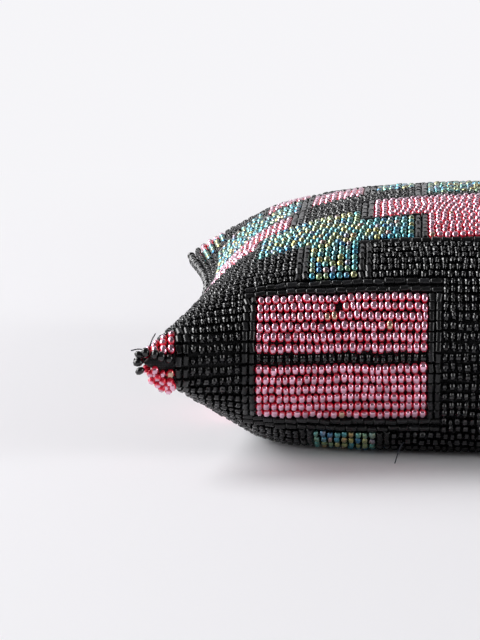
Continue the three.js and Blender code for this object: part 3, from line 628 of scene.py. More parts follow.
def studio_floor(colours):
    """A pale matte sweep, seen by the camera and by reflections as near white"""
    floor = Finish("studio_floor", {"Roughness": 0.9, "Specular IOR Level": 0.1})
    floor.dress({"Base Color": floor.clouded(colours.floor, 3, 0.985, 1.0)})
    distance = floor.node("VectorMath", {0: floor.place()}, operation="LENGTH").outputs["Value"]
    reach = {"Value": distance, "From Min": FLOOR_NEAR, "From Max": FLOOR_FAR}
    far = floor.node("MapRange", reach, interpolation_type="SMOOTHSTEP").outputs["Result"]
    rays = floor.node("LightPath").outputs
    seen = rays["Is Camera Ray"]
    for ray in ("Is Glossy Ray", "Is Transmission Ray"):
        seen = floor.calculate("MAXIMUM", seen, rays[ray])
    white = floor.node("Emission", {"Color": colours.backdrop}).outputs["Emission"]
    share = floor.calculate("MULTIPLY", seen, far)
    blend = floor.node("MixShader", {"Fac": share, 1: floor.shader.outputs["BSDF"], 2: white})
    floor.feed(floor.tree.nodes["Material Output"], {"Surface": blend.outputs["Shader"]})
    return floor.material


# Making pieces


def clear_selection():
    """Nothing selected and object mode"""
    if bpy.context.mode != "OBJECT":
        bpy.ops.object.mode_set(mode="OBJECT")
    bpy.ops.object.select_all(action="DESELECT")


def in_scene(name, data):
    """A new object in the scene, alone selected"""
    clear_selection()
    piece = bpy.data.objects.new(name, data)
    bpy.context.scene.collection.objects.link(piece)
    bpy.context.view_layer.objects.active = piece
    piece.select_set(True)
    return piece


def finish_piece(piece, name, material, body, nodes=()):
    """Names the piece, dresses it and joins it to its body"""
    piece.name = name
    piece.data.name = name
    piece.data.materials.clear()
    piece.data.materials.append(material)
    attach(piece, body)
    if nodes:
        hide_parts(*nodes)


def edit_edges(model, chosen):
    """Opens a model in edit mode, with the edges selected that a test on their two ends chooses"""
    bpy.ops.object.mode_set(mode="EDIT")
    bpy.ops.mesh.select_mode(type="EDGE")
    bpy.ops.mesh.select_all(action="DESELECT")
    bpy.ops.object.mode_set(mode="OBJECT")
    for edge in model.data.edges:
        edge.select = chosen(*(model.data.vertices[i].co for i in edge.vertices))
    bpy.ops.object.mode_set(mode="EDIT")


def bevelled(model, offset):
    """Breaks the selected edges by one facet, and takes the model apart into points and faces"""
    bpy.ops.mesh.bevel(offset=offset, segments=1, affect="EDGES")
    bpy.ops.mesh.select_all(action="SELECT")
    bpy.ops.mesh.normals_make_consistent(inside=False)
    bpy.ops.object.mode_set(mode="OBJECT")
    points = np.array([v.co for v in model.data.vertices])
    faces = [list(p.vertices) for p in model.data.polygons]
    bpy.data.objects.remove(model)
    return points, faces


def unit_bead(sides, shoulder, rounded=False):
    """A bead of unit size along X as points and faces: a cylinder, its ends bevelled, or all its edges"""
    clear_selection()
    bpy.ops.mesh.primitive_cylinder_add(
        vertices=sides, radius=0.5, depth=1.0, end_fill_type="NGON", rotation=(0, math.pi / 2, 0)
    )
    bead = bpy.context.object
    bpy.ops.object.transform_apply(location=False, rotation=True, scale=False)
    edit_edges(bead, lambda a, b: rounded or abs(a.x - b.x) < 0.1)
    points, faces = bevelled(bead, shoulder)
    return crowded(points), faces


def crowded(points):
    """A bead's section turned with a corner outwards, its corners drawn together on that side"""
    radius = np.hypot(points[:, 1], points[:, 2])
    turn = np.arctan2(points[:, 1], points[:, 2]) - math.pi / 2
    turn = np.arctan2(np.sin(turn), np.cos(turn))
    turn = turn - CROWDING * np.sin(turn)
    return np.stack([points[:, 0], radius * np.sin(turn), radius * np.cos(turn)], -1)


def unit_bar(edge):
    """A bar of unit length, width and height with bevelled edges, as points and faces"""
    clear_selection()
    bpy.ops.mesh.primitive_cube_add(size=1.0)
    bar = bpy.context.object
    edit_edges(bar, lambda a, b: True)
    return bevelled(bar, edge)


def strung(name, unit, places, axes, sizes, tints, turns, cut_ends=False):
    """One mesh of many beads: each a copy of the unit bead, turned about its thread and set in its place"""
    points, faces = unit
    count, corners = len(places), len(points)
    turn = turns[:, None]
    x = np.broadcast_to(points[:, 0], (count, corners))
    y = points[:, 1] * np.cos(turn) - points[:, 2] * np.sin(turn)
    z = points[:, 1] * np.sin(turn) + points[:, 2] * np.cos(turn)
    local = np.stack([x, y, z], -1) * sizes[:, None, :]
    placed = np.einsum("nij,nmj->nmi", axes, local) + places[:, None, :]
    mesh = bpy.data.meshes.new(name)
    all_faces = [[i + k * corners for i in face] for k in range(count) for face in faces]
    mesh.from_pydata(placed.reshape(-1, 3), [], all_faces)
    outward = np.clip((2 * z - CROWN_LOW) / (CROWN_HIGH - CROWN_LOW), 0, 1)
    crown = outward * np.where(np.abs(x) < CROWN_END, 1.0, CROWN_LEFT)
    for label, values in (("tint", np.repeat(tints, corners)), ("crown", crown.ravel())):
        mesh.attributes.new(label, "FLOAT", "POINT").data.foreach_set("value", values.astype(np.float32))
    mesh.shade_smooth()
    if cut_ends:
        ends = np.empty(2 * len(mesh.edges), np.int32)
        mesh.edges.foreach_get("vertices", ends)
        stations = points[ends.reshape(-1, 2) % corners, 0]
        crisp = np.abs(stations[:, 0] - stations[:, 1]) < 0.01
        mesh.attributes.new("sharp_edge", "BOOLEAN", "EDGE").data.foreach_set("value", crisp)
    return in_scene(name, mesh)


def pattern():
    """The kind of bead in each cell, by row from the back panel's mouth to the front's, and column"""
    cells = np.full((2 * LAST_ROW + 1, COLUMNS), BLACK)

    def paint(kind, c0, c1, r0, r1):
        cells[LAST_ROW + r0:LAST_ROW + r1 + 1, c0:c1 + 1] = kind
        cells[LAST_ROW + r0:LAST_ROW + r1 + 1, COLUMNS - 1 - c1:COLUMNS - c0] = kind

    for kind, c0, c1, r0, r1 in BLOCKS:
        paint(kind, c0, c1, r0, r1)
        paint(kind, c0, c1, -r1, -r0)
    for kind, c0, c1, r0, r1 in CORNER_BLOCKS:
        paint(kind, c0, c1, r0, r1)
    for column, row in LOST_BEADS:
        cells[LAST_ROW + row, column] = BARE
    return cells


def varied(chance, count, spread, low, high):
    """Random shares about 1, kept between two limits"""
    return np.clip(chance.normal(1, spread, count), low, high)


class BeadGrid:
    """Places of the beads on the cloth, each row with its own sway"""

    def __init__(self, scene):
        self.beads = scene.bag_beads
        self.form = PouchForm(scene.bag_pouch, self.beads.crest)
        self.cells = pattern()
        chance = np.random.default_rng(self.beads.chance)
        start = chance.uniform(0, 2 * math.pi, len(SWAY_LENGTHS))
        drift = chance.normal(0, SWAY_DRIFT, (2 * LAST_ROW + 1, len(SWAY_LENGTHS)))
        self.phase = start + np.cumsum(drift, axis=0)

    def sway(self, rows, u):
        """How far the row strays along the cloth at u"""
        swing = np.sin(2 * math.pi * u[:, None] / SWAY_LENGTHS + self.phase[rows + LAST_ROW])
        return self.beads.sway * swing @ SWAY_SHARES

    def across(self, columns):
        """u at the middle of a column"""
        return (np.asarray(columns) + 0.5 - COLUMNS / 2) * self.beads.bead_pitch

    def places(self, u, rows, height, chance, upright=False):
        """Middle points and axes of beads that rest on the cloth"""
        wander = self.beads.wander
        u = np.clip(u, -self.form.half + wander, self.form.half - wander)
        v = rows * self.beads.row_pitch + self.sway(rows, u) + chance.normal(0, wander, len(u))
        v = np.clip(v, -self.form.depth + wander, self.form.depth - wander)
        lift = height / 2 + np.abs(chance.normal(0, wander * LOOSE_SHARE, len(u)))
        places = self.form.off(u, v, lift)
        places[:, 2] = np.maximum(places[:, 2], np.asarray(height) / 2)
        axes = self.form.frames(u, v)
        if upright:
            axes = np.stack([axes[..., 1], -axes[..., 0], axes[..., 2]], -1)
        return places, axes @ small_turns(chance, len(u), BEAD_TILT)

    def cells_of(self, kind, low, high):
        """Rows and columns of the cells of a kind between two rows"""
        rows, columns = np.nonzero(self.cells == kind)
        rows = rows - LAST_ROW
        keep = (rows >= low) & (rows <= high)
        return rows[keep], columns[keep]

    def threaded(self, kind, low, high, left, right, pitch, chance):
        """Each run of cells of a kind in a row, filled with beads of slightly different lengths"""
        places, rows, lengths = [], [], []
        for row in range(low, high + 1):
            columns = left + np.nonzero(self.cells[row + LAST_ROW, left:right] == kind)[0]
            for run in np.split(columns, np.nonzero(np.diff(columns) > 1)[0] + 1):
                if len(run) == 0:
                    continue
                width = len(run) * self.beads.bead_pitch
                count = max(1, round(width / pitch * chance.uniform(*COUNT_VARIES)))
                shares = varied(chance, count, *LENGTH_VARIES)
                shares *= width / shares.sum()
                start = self.across(run[0]) - self.beads.bead_pitch / 2
                places.append(start + np.cumsum(shares) - shares / 2)
                rows.append(np.full(count, row))
                lengths.append(shares)
        return np.concatenate(places), np.concatenate(rows), np.concatenate(lengths)


def small_turns(chance, count, angle):
    """Small random turns as matrices"""
    a = chance.normal(0, angle, (count, 3))
    turns = np.tile(np.eye(3), (count, 1, 1))
    turns[:, 0, 1], turns[:, 1, 0] = -a[:, 2], a[:, 2]
    turns[:, 0, 2], turns[:, 2, 0] = a[:, 1], -a[:, 1]
    turns[:, 1, 2], turns[:, 2, 1] = -a[:, 0], a[:, 0]
    return turns


def sewn_seeds(grid, name, kind, low, high, unit, left=0, right=COLUMNS):
    """A piece of seed beads: the cells of a kind on a stretch of the cloth"""
    beads = grid.beads
    chance = np.random.default_rng([beads.chance, kind, low + LAST_ROW, left])
    u, rows, lengths = grid.threaded(kind, low, high, left, right, beads.bead_pitch, chance)
    count = len(rows)
    height = beads.crest * varied(chance, count, *HEIGHT_VARIES)
    places, axes = grid.places(u, rows, height, chance)
    full_width = beads.pink_width if kind == PINK else beads.seed_width
    width = full_width * varied(chance, count, *WIDTH_VARIES)
    sizes = np.stack([SEED_FILL * lengths, width, height], -1)
    turns = chance.normal(0, SEED_TURN, count)
    return strung(name, unit, places, axes, sizes, chance.random(count), turns)


# Pieces and stage


class BAG_OT_cloth(Operator):
    """Models the outer fabric and the lining as one folded sheet each"""

    bl_idname = "bag.cloth"
    bl_label = "Outer fabric and lining"

    def execute(self, context):
        sizes = context.scene.bag_pouch
        form = PouchForm(sizes, context.scene.bag_beads.crest)
        colours = context.scene.bag_finishes
        half, taper = sizes.flat_width / 2, sizes.seam_allowance
        inner, end, lift = half - sizes.lining_side, sizes.lining_end, -sizes.lining_face
        fabric = folded_sheet(form, FABRIC_CUTS, half, sizes.flat_depth, 0.0, sizes.fabric, taper)
        weave = woven("black_cotton", colours.cloth, 0.6 * MM)
        finish_piece(fabric, "folded_outer_fabric", weave, "bag", ["outer_fabric"])
        lining = folded_sheet(form, LINING_CUTS, inner, end, lift, sizes.lining, taper)
        satin = woven("lining_satin", colours.lining, 0.4 * MM, 0.1)
        finish_piece(lining, "folded_lining", satin, "bag", ["lining"])
        return {"FINISHED"}


def flat_sheet(cuts):
    """A flat grid from -1 to 1 each way, with its points"""
    clear_selection()
    bpy.ops.mesh.primitive_grid_add(x_subdivisions=cuts[0], y_subdivisions=cuts[1], size=2)
    sheet = bpy.context.object
    return sheet, np.array([v.co for v in sheet.data.vertices])


def lay_sheet(sheet, points, u, v):
    """Moves the grid's points into place and maps it in metres along its threads"""
    mesh = sheet.data
    mesh.vertices.foreach_set("co", np.asarray(points).ravel())
    for loop, place in zip(mesh.loops, mesh.uv_layers.active.data):
        place.uv = (u[loop.vertex_index], v[loop.vertex_index])


def thicken(sheet, thickness, offset, group=""):
    """Gives a sheet its wall"""
    wall = sheet.modifiers.new("wall", "SOLIDIFY")
    wall.thickness = thickness
    wall.offset = offset
    wall.vertex_group = group
    bpy.ops.object.modifier_apply(modifier=wall.name)


def folded_sheet(form, cuts, reach, end, lift, thickness, taper):
    """A sheet wrapped over both panels, thin at the sewn sides, thick enough to be closed"""
    sheet, flat = flat_sheet(cuts)
    u = reach * np.sin(flat[:, 0] * math.pi / 2)
    v = end * np.sign(flat[:, 1]) * np.abs(flat[:, 1]) ** FOLD_CROWDING
    lay_sheet(sheet, form.off(u, v, np.full(len(u), lift)), u, v)
    sewn = sheet.vertex_groups.new(name="sewn")
    weight = np.clip((reach - np.abs(u)) / taper, SEWN_SHARE, 1)
    for index, value in enumerate(weight):
        sewn.add([index], float(value), "REPLACE")
    thicken(sheet, thickness, -1, "sewn")
    sheet.data.shade_smooth()
    return sheet


class BAG_OT_black_seeds(Operator):
    """Sews the black seed beads, each panel in two halves"""

    bl_idname = "bag.black_seeds"
    bl_label = "Black seed beads"

    def execute(self, context):
        material = finish_of(black_glass, context.scene)
        grid = BeadGrid(context.scene)
        half = COLUMNS // 2
        for panel, low, high in PANELS:
            unit = unit_bead(SEED_SIDES[panel], SEED_SHOULDER, rounded=(panel == "front"))
            for side, left, right in (("left", 0, half), ("right", half, COLUMNS)):
                name = f"black_seeds_{panel}_{side}"
                seeds = sewn_seeds(grid, name, BLACK, low, high, unit, left, right)
                finish_piece(seeds, name, material, "bag", [f"black_beads_{panel}"])
        return {"FINISHED"}


class BAG_OT_colour_seeds(Operator):
    """Sews the fields of pink and teal seed beads"""

    bl_idname = "bag.colour_seeds"
    bl_label = "Pink and teal seed beads"

    def execute(self, context):
        grid = BeadGrid(context.scene)
        units = {panel: unit_bead(sides, COLOUR_SHOULDER) for panel, sides in COLOUR_SIDES.items()}
        for colour, kind, glass in (("pink", PINK, pink_glass), ("teal", TEAL, teal_glass)):
            material = finish_of(glass, context.scene)
            fields = [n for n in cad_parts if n.startswith(f"{colour}_")]
            for panel, low, high in PANELS:
                nodes = [n for n in fields if panel in n or (panel == "front" and "corner" in n)]
                name = f"{colour}_seeds_{panel}"
                seeds = sewn_seeds(grid, name, kind, low, high, units[panel])
                finish_piece(seeds, name, material, "bag", nodes)
            if kind == PINK:
                corners = corner_beads(grid, units["front"])
                finish_piece(corners, corners.name, material, "bag")
        return {"FINISHED"}


def corner_beads(grid, unit):
    """The pink beads that are sewn over the first layer under the drawn corners"""
    beads = grid.beads
    columns, rows, heights = np.array(CORNER_PINKS).T
    u = np.concatenate([grid.across(columns), -grid.across(columns)])
    v = np.tile(rows, 2) * beads.row_pitch
    count = len(u)
    chance = np.random.default_rng([beads.chance, CORNER_CHANCE])
    places = grid.form.off(u, v, np.tile(heights, 2) * beads.crest)
    axes = grid.form.frames(u, v) @ small_turns(chance, count, CORNER_TILT)
    sizes = np.tile([beads.bead_pitch, beads.seed_width, beads.crest], (count, 1))
    tints = chance.random(count)
    return strung("pink_seeds_corners", unit, places, axes, sizes, tints, np.zeros(count))


class BAG_OT_bugles(Operator):
    """Sews the bugle beads that frame the fields, upright or lying along their row"""

    bl_idname = "bag.bugles"
    bl_label = "Bugle beads"

    def execute(self, context):
        material = finish_of(bugle_glass, context.scene)
        unit = unit_bead(BUGLE_SIDES, BUGLE_SHOULDER)
        grid = BeadGrid(context.scene)
        beads = grid.beads
        for panel, low, high in PANELS:
            chance = np.random.default_rng([beads.chance, UPRIGHT, low + LAST_ROW])
            rows, columns = grid.cells_of(UPRIGHT, low, high)
            tall = np.full(len(rows), UPRIGHT_FILL * beads.row_pitch)
            upright = sewn_bugles(f"upright_bugles_{panel}", grid, grid.across(columns), rows, unit,
                                  tall, chance, True)
            u, rows, lengths = grid.threaded(LYING, low, high, 0, COLUMNS, beads.bugle_length, chance)
            lying = sewn_bugles(f"lying_bugles_{panel}", grid, u, rows, unit, LYING_FILL * lengths,
                                chance, False)
            for piece in (upright, lying):
                finish_piece(piece, piece.name, material, "bag")
        return {"FINISHED"}


def sewn_bugles(name, grid, u, rows, unit, lengths, chance, upright):
    """A piece of bugle beads"""
    count = len(u)
    thick = grid.beads.bugle_width * varied(chance, count, *HEIGHT_VARIES)
    places, axes = grid.places(u, rows, thick, chance, upright)
    sizes = np.stack([lengths * varied(chance, count, *BUGLE_VARIES), thick, thick], -1)
    turns = chance.normal(0, BUGLE_TURN, count)
    return strung(name, unit, places, axes, sizes, chance.random(count), turns, cut_ends=True)


class BAG_OT_ropes(Operator):
    """Strings the beads of the side ropes and of the ropes that edge the drawn corners"""

    bl_idname = "bag.ropes"
    bl_label = "Side and corner ropes"

    def execute(self, context):
        material = finish_of(black_glass, context.scene)
        unit = unit_bead(ROPE_SIDES, ROPE_SHOULDER)
        grid = BeadGrid(context.scene)
        beads = grid.beads
        for side, name in ((-1, "left"), (1, "right")):
            chance = np.random.default_rng([beads.chance, ROPE_CHANCE, side + 1])
            strings = []
            for route, share in ((seam_route, SEAM_SHARE), (corner_route, CORNER_SHARE)):
                pitch = beads.rope_bead * share
                places, axes = along_route(route(grid, side), pitch)
                strings.append((places, axes, np.full(len(places), pitch * ROPE_FILL)))
            places, axes, lengths = (np.concatenate(parts) for parts in zip(*strings))
            count = len(places)
            places = places + chance.normal(0, beads.wander, places.shape)
            thick = beads.rope_bead * chance.normal(1, ROPE_WIDTH_SPREAD, count)
            sizes = np.stack([lengths * chance.normal(1, ROPE_LENGTH_SPREAD, count), thick, thick], -1)
            axes = axes @ small_turns(chance, count, ROPE_TILT)
            turns = chance.uniform(0, 2 * math.pi, count)
            rope = strung(f"bead_rope_{name}", unit, places, axes, sizes, chance.random(count), turns)
            finish_piece(rope, rope.name, material, "bag", [f"side_rope_{name}"])
        return {"FINISHED"}


def seam_route(grid, side):
    """Points along a side seam, a rope's radius outside it"""
    form, pitch = grid.form, grid.beads.row_pitch
    s = np.linspace(pitch, form.depth - pitch, SEAM_POINTS)
    seam = form.cloth(np.full(SEAM_POINTS, side * form.half), s)
    seam[:, 0] += side * (SEAM_GAP + grid.beads.rope_bead / 2)
    return seam


def corner_route(grid, side):
    """Points of the rope round a drawn corner: along the front panel, round the tip and under it"""
    columns, rows, heights = np.array(CORNER_ROPE).T
    u = -side * grid.across(columns - 0.5)
    knots = grid.form.off(u, rows * grid.beads.row_pitch, heights * grid.beads.rope_bead / 2)
    turn = knots[-1] + np.array(CORNER_TURN) * (-side, 1, 1) * MM
    return smooth_route(np.concatenate([knots, turn]), ROPE_STEPS)


def smooth_route(knots, steps):
    """A smooth line through the knots"""
    ends = np.concatenate([[2 * knots[0] - knots[1]], knots, [2 * knots[-1] - knots[-2]]])
    t = np.linspace(0, 1, steps, endpoint=False)[:, None]
    spans = []
    for a, b, c, d in zip(ends, ends[1:], ends[2:], ends[3:]):
        bend = (2 * a - 5 * b + 4 * c - d) * t**2 + (3 * b - a - 3 * c + d) * t**3
        spans.append(0.5 * (2 * b + (c - a) * t + bend))
    return np.concatenate([*spans, knots[-1:]])


def along_route(route, pitch):
    """Even places on a route, with the thread's direction as each bead's axis"""
    lengths = np.concatenate([[0], np.cumsum(np.linalg.norm(np.diff(route, axis=0), axis=1))])
    count = int(lengths[-1] / pitch)
    at = (np.arange(count) + 0.5) * lengths[-1] / count
    behind, places, ahead = (
        np.stack([np.interp(at + step, lengths, route[:, k]) for k in range(3)], -1)
        for step in (-pitch / 4, 0, pitch / 4)
    )
    thread = ahead - behind
    thread /= np.linalg.norm(thread, axis=1, keepdims=True)
    off_thread = np.array([0.3, 0.2, 1.0])
    side = np.cross(thread, off_thread)
    side /= np.linalg.norm(side, axis=1, keepdims=True)
    return places, np.stack([thread, side, np.cross(thread, side)], -1)


class BAG_OT_zip(Operator):
    """Weaves and sews the zip's tapes and eases the edges of its teeth, stops, slider and pull"""

    bl_idname = "bag.zip"
    bl_label = "Zip"

    def execute(self, context):
        scene = context.scene
        metal, plastic = finish_of(brushed_metal, scene), finish_of(moulded_plastic, scene)
        webbing = woven("zip_webbing", scene.bag_finishes.cloth, 0.5 * MM)
        thread = finish_of(spun_thread, scene)
        stitch = unit_bar(STITCH_EDGE)
        for panel in ("front", "back"):
            name = f"zip_tape_{panel}"
            finish_piece(woven_tape(name), f"woven_{name}", webbing, "bag", [name])
            stitches = tape_stitches(name, stitch)
            finish_piece(stitches, stitches.name, thread, "bag")
            name = f"zip_teeth_{panel}"
            finish_piece(eased_copy(name), f"eased_{name}", plastic, "bag", [name])
        for name, body in (("zip_stop_left", "bag"), ("zip_stop_right", "bag"),
                           ("zip_slider", "slider"), ("zip_pull", "pull")):
            finish_piece(eased_copy(name), f"eased_{name}", metal, body, [name])
        return {"FINISHED"}


def woven_tape(node):
    """One of the zip's tapes, flat along the mouth"""
    low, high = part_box(node)
    middle, half = (low + high) / 2, (high - low) / 2
    tape, flat = flat_sheet(TAPE_CUTS)
    x = middle.x + half.x * flat[:, 0]
    z = middle.z + half.z * flat[:, 1]
    lay_sheet(tape, np.stack([x, np.full(len(x), middle.y), z], -1), x, z)
    thicken(tape, 2 * half.y, 0)
    return tape


def row_of_stitches(name, unit, places, length):
    """Stitches that lie along X at their places"""
    count = len(places)
    sizes = np.tile([length, STITCH_WIDTH, STITCH_WIDTH], (count, 1))
    axes = np.tile(np.eye(3), (count, 1, 1))
    return strung(name, unit, places, axes, sizes, np.full(count, 0.5), np.zeros(count))


def tape_stitches(node, unit):
    """The seam that holds a tape, on its outer half"""
    low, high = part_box(node)
    outwards = 1 if "front" in node else -1
    z = (low.z + high.z) / 2 + outwards * (high.z - low.z) / 2 * (2 * TAPE_SEAM - 1)
    count = int((high.x - low.x) / STITCH_PITCH)
    x = np.linspace(low.x + STITCH_PITCH, high.x - STITCH_PITCH, count)
    places = np.stack([x, np.full(count, high.y), np.full(count, z)], -1)
    return row_of_stitches(f"stitches_{node}", unit, places, STITCH_LENGTH)


def eased_copy(node):
    """A copy of a rigid node with its sharp edges broken"""
    piece = in_scene(node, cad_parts[node].data.copy())
    bpy.ops.object.mode_set(mode="EDIT")
    bpy.ops.mesh.select_all(action="SELECT")
    bpy.ops.mesh.remove_doubles(threshold=1e-6)
    bpy.ops.mesh.dissolve_limited(angle_limit=FLAT_TURN)
    bpy.ops.object.mode_set(mode="OBJECT")
    edge = piece.modifiers.new("edge", "BEVEL")
    edge.width = EASED_EDGE
    edge.segments = 2
    edge.limit_method = "ANGLE"
    bpy.ops.object.modifier_apply(modifier=edge.name)
    bpy.ops.object.shade_smooth_by_angle(angle=EASED_SMOOTH)
    return piece


class BAG_OT_strap_ends(Operator):
    """Folds the webbing tabs round the bars of their rings and bends the rings from round wire"""

    bl_idname = "bag.strap_ends"
    bl_label = "Strap tabs and rings"

    def execute(self, context):
        scene = context.scene
        metal, thread = finish_of(brushed_metal, scene), finish_of(spun_thread, scene)
        webbing = woven("tab_webbing", scene.bag_finishes.cloth, 0.6 * MM)
        stitch = unit_bar(STITCH_EDGE)
        for side in ("left", "right"):
            tab, seam = webbing_loop(side, scene.bag_pouch.tab_cloth, stitch)
            finish_piece(tab, f"folded_tab_{side}", webbing, "bag", [f"strap_tab_{side}"])
            finish_piece(seam, seam.name, thread, "bag")
            ring = wire_ring(f"strap_ring_{side}")
            finish_piece(ring, f"wire_ring_{side}", metal, f"ring_{side}", [f"strap_ring_{side}"])
        return {"FINISHED"}


def webbing_loop(side, cloth, stitch):
    """A tab folded round its ring's bar, and the stitches that close it"""
    low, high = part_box(f"strap_tab_{side}")
    ring_low, ring_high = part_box(f"strap_ring_{side}")
    bar_y = (ring_low.y + ring_high.y) / 2
    bar_z = ring_high.z - (ring_high.y - ring_low.y) / 2
    radius = high.y - bar_y - cloth / 2
    meet = math.asin(cloth / 2 / radius)
    leg = bar_y - radius * math.cos(meet) - low.y
    turn = 2 * (math.pi - meet)
    tab, flat = flat_sheet(TAB_CUTS)
    x = (low.x + high.x) / 2 + (high.x - low.x) / 2 * flat[:, 0]
    along = (flat[:, 1] + 1) / 2 * (2 * leg + radius * turn)
    angle = math.pi + meet + np.clip((along - leg) / radius, 0, turn)
    straight = np.maximum(0, leg - along) + np.maximum(0, along - leg - radius * turn)
    points = np.stack([x, bar_y + radius * np.cos(angle) - straight, bar_z + radius * np.sin(angle)], -1)
    lay_sheet(tab, points, x, along)
    thicken(tab, TAB_WALL * cloth, 0)
    bpy.ops.object.shade_smooth_by_angle(angle=TAB_SMOOTH)
    across = np.linspace(low.x + STITCH_PITCH / 2, high.x - STITCH_PITCH / 2, TAB_STITCHES)
    places = [(a, low.y + TAB_SEAM * leg, bar_z + face * cloth) for a in across for face in (-1, 1)]
    return tab, row_of_stitches(f"stitches_tab_{side}", stitch, np.array(places), TAB_STITCH * STITCH_LENGTH)


def tube(name, routes, radius, closed):
    """Round wire or thread along its routes, as a mesh"""
    data = bpy.data.curves.new(name, "CURVE")
    data.dimensions = "3D"
    data.bevel_depth = radius
    data.bevel_resolution = 3
    data.use_fill_caps = not closed
    for route in routes:
        spline = data.splines.new("POLY")
        spline.points.add(len(route) - 1)
        for point, place in zip(spline.points, route):
            point.co = (*place, 1)
        spline.use_cyclic_u = closed
    in_scene(name, data)
    bpy.ops.object.convert(target="MESH")
    bpy.ops.object.shade_smooth_by_angle(angle=TUBE_SMOOTH)
    return bpy.context.object


def wire_ring(node):
    """A D-ring: a straight bar with rounded corners and a round bow that hangs from it"""
    low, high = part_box(node)
    wire = high.y - low.y
    reach = (high.x - low.x - wire) / 2
    bow = low.z + wire / 2 + reach
    corner = wire / 2
    shoulder = high.z - wire / 2 - corner
    arcs = [
        (reach - corner, shoulder, corner, np.linspace(90, 0, CORNER_POINTS)),
        (0, bow, reach, np.linspace(0, -180, BOW_POINTS)),
        (corner - reach, shoulder, corner, np.linspace(180, 90, CORNER_POINTS)),
    ]
    route = []
    for x, z, radius, degrees in arcs:
        for turn in np.radians(degrees):
            route.append(((low.x + high.x) / 2 + x + radius * math.cos(turn), (low.y + high.y) / 2,
                          z + radius * math.sin(turn)))
    return tube(node, [route], wire / 2, True)


class BAG_OT_threads(Operator):
    """Leaves a few loose ends of sewing thread"""

    bl_idname = "bag.threads"
    bl_label = "Thread ends"

    def execute(self, context):
        grid = BeadGrid(context.scene)
        routes = []
        for (column, row), way in THREAD_ENDS:
            v = row * grid.beads.row_pitch
            start = grid.form.off(grid.across(column), v, THREAD_START * grid.beads.crest)
            tip = start + np.array(way) * MM
            sag = np.array([0, 0, THREAD_SAG * np.linalg.norm(tip - start)])
            routes.append(smooth_route(np.array([start, (start + tip) / 2 + sag, tip]), THREAD_STEPS))
        threads = tube("thread_ends", routes, THREAD_RADIUS, False)
        finish_piece(threads, "thread_ends", finish_of(spun_thread, context.scene), "bag")
        return {"FINISHED"}


class BAG_OT_stage(Operator):
    """Sets the pale floor, the soft lights and the camera"""

    bl_idname = "bag.stage"
    bl_label = "Stage"

    def execute(self, context):
        scene = context.scene
        floor = studio_sweep()
        floor.data.materials.append(finish_of(studio_floor, scene))
        for name, place, size, power in LIGHTS:
            soft_light(name, place, size, power)
        world = scene.world or bpy.data.worlds.new("World")
        scene.world = world
        world.use_nodes = True
        sky = world.node_tree.nodes["Background"]
        sky.inputs["Color"].default_value = (1.0, 1.0, 1.0, 1.0)
        sky.inputs["Strength"].default_value = WORLD_STRENGTH
        scene.view_settings.view_transform = "Standard"
        set_camera(scene)
        return {"FINISHED"}


def soft_light(name, place, size, power):
    """A soft panel that faces the bag"""
    data = bpy.data.lights.new(name, "AREA")
    data.shape = "RECTANGLE"
    data.size, data.size_y = size
    data.energy = power
    lamp = in_scene(name, data)
    lamp.location = place
    lamp.rotation_euler = (LIT_POINT - lamp.location).to_track_quat("-Z", "Y").to_euler()


def studio_sweep():
    """A floor that turns up into a backdrop behind the bag"""
    clear_selection()
    bpy.ops.mesh.primitive_plane_add(size=FLOOR_SIZE, location=(0, 0, 0))
    floor = bpy.context.object
    floor.name = "studio_floor"
    edit_edges(floor, lambda a, b: min(a.y, b.y) > 0)
    bpy.ops.mesh.extrude_region_move(TRANSFORM_OT_translate={"value": (0, 0, BACKDROP_HEIGHT)})
    bpy.ops.object.mode_set(mode="OBJECT")
    turn = floor.modifiers.new("turn", "BEVEL")
    turn.width = SWEEP_RADIUS
    turn.segments = 12
    bpy.ops.object.modifier_apply(modifier=turn.name)
    floor.data.shade_smooth()
    return floor


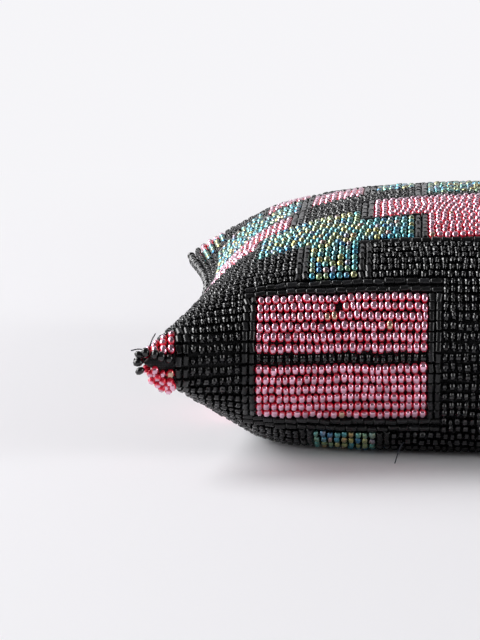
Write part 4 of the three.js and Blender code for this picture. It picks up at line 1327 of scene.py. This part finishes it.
def set_camera(scene):
    """The camera at the photograph's angle"""
    data = bpy.data.cameras.new("camera")
    data.sensor_width = SENSOR_WIDTH
    data.lens = FOCAL_PIXELS * SENSOR_WIDTH / LONG_SIDE_PIXELS
    data.clip_start = 0.01
    data.clip_end = 50
    camera = in_scene("camera", data)
    turn = (
        Matrix.Rotation(CAMERA_YAW, 3, "Z")
        @ Matrix.Rotation(math.pi / 2 - CAMERA_PITCH, 3, "X")
        @ Matrix.Rotation(CAMERA_ROLL, 3, "Z")
    )
    camera.matrix_world = Matrix.Translation(CAMERA_PLACE) @ turn.to_4x4()
    scene.camera = camera


# Panel and registration


class BAG_PT_panel(Panel):
    """Lists the bag's pieces in the order in which they are made"""

    bl_idname = "BAG_PT_panel"
    bl_label = "Beaded bag"
    bl_space_type = "VIEW_3D"
    bl_region_type = "UI"
    bl_category = "Bag"

    def draw(self, context):
        for settings in (context.scene.bag_pouch, context.scene.bag_beads, context.scene.bag_finishes):
            box = self.layout.box()
            for name in settings.__annotations__:
                box.prop(settings, name)
        for operator in OPERATORS:
            self.layout.operator(operator.bl_idname)


GROUPS = {"bag_pouch": PouchSizes, "bag_beads": BeadSizes, "bag_finishes": Finishes}
OPERATORS = [
    BAG_OT_cloth,
    BAG_OT_black_seeds,
    BAG_OT_colour_seeds,
    BAG_OT_bugles,
    BAG_OT_ropes,
    BAG_OT_zip,
    BAG_OT_strap_ends,
    BAG_OT_threads,
    BAG_OT_stage,
]


def register():
    for cls in (*GROUPS.values(), *OPERATORS, BAG_PT_panel):
        bpy.utils.register_class(cls)
    for name, group in GROUPS.items():
        setattr(bpy.types.Scene, name, PointerProperty(type=group))


def unregister():
    for name in GROUPS:
        delattr(bpy.types.Scene, name)
    for cls in reversed((*GROUPS.values(), *OPERATORS, BAG_PT_panel)):
        bpy.utils.unregister_class(cls)


def main():
    register()
    bpy.ops.bag.cloth()
    bpy.ops.bag.black_seeds()
    bpy.ops.bag.colour_seeds()
    bpy.ops.bag.bugles()
    bpy.ops.bag.ropes()
    bpy.ops.bag.zip()
    bpy.ops.bag.strap_ends()
    bpy.ops.bag.threads()
    bpy.ops.bag.stage()


if __name__ == "__main__":
    main()
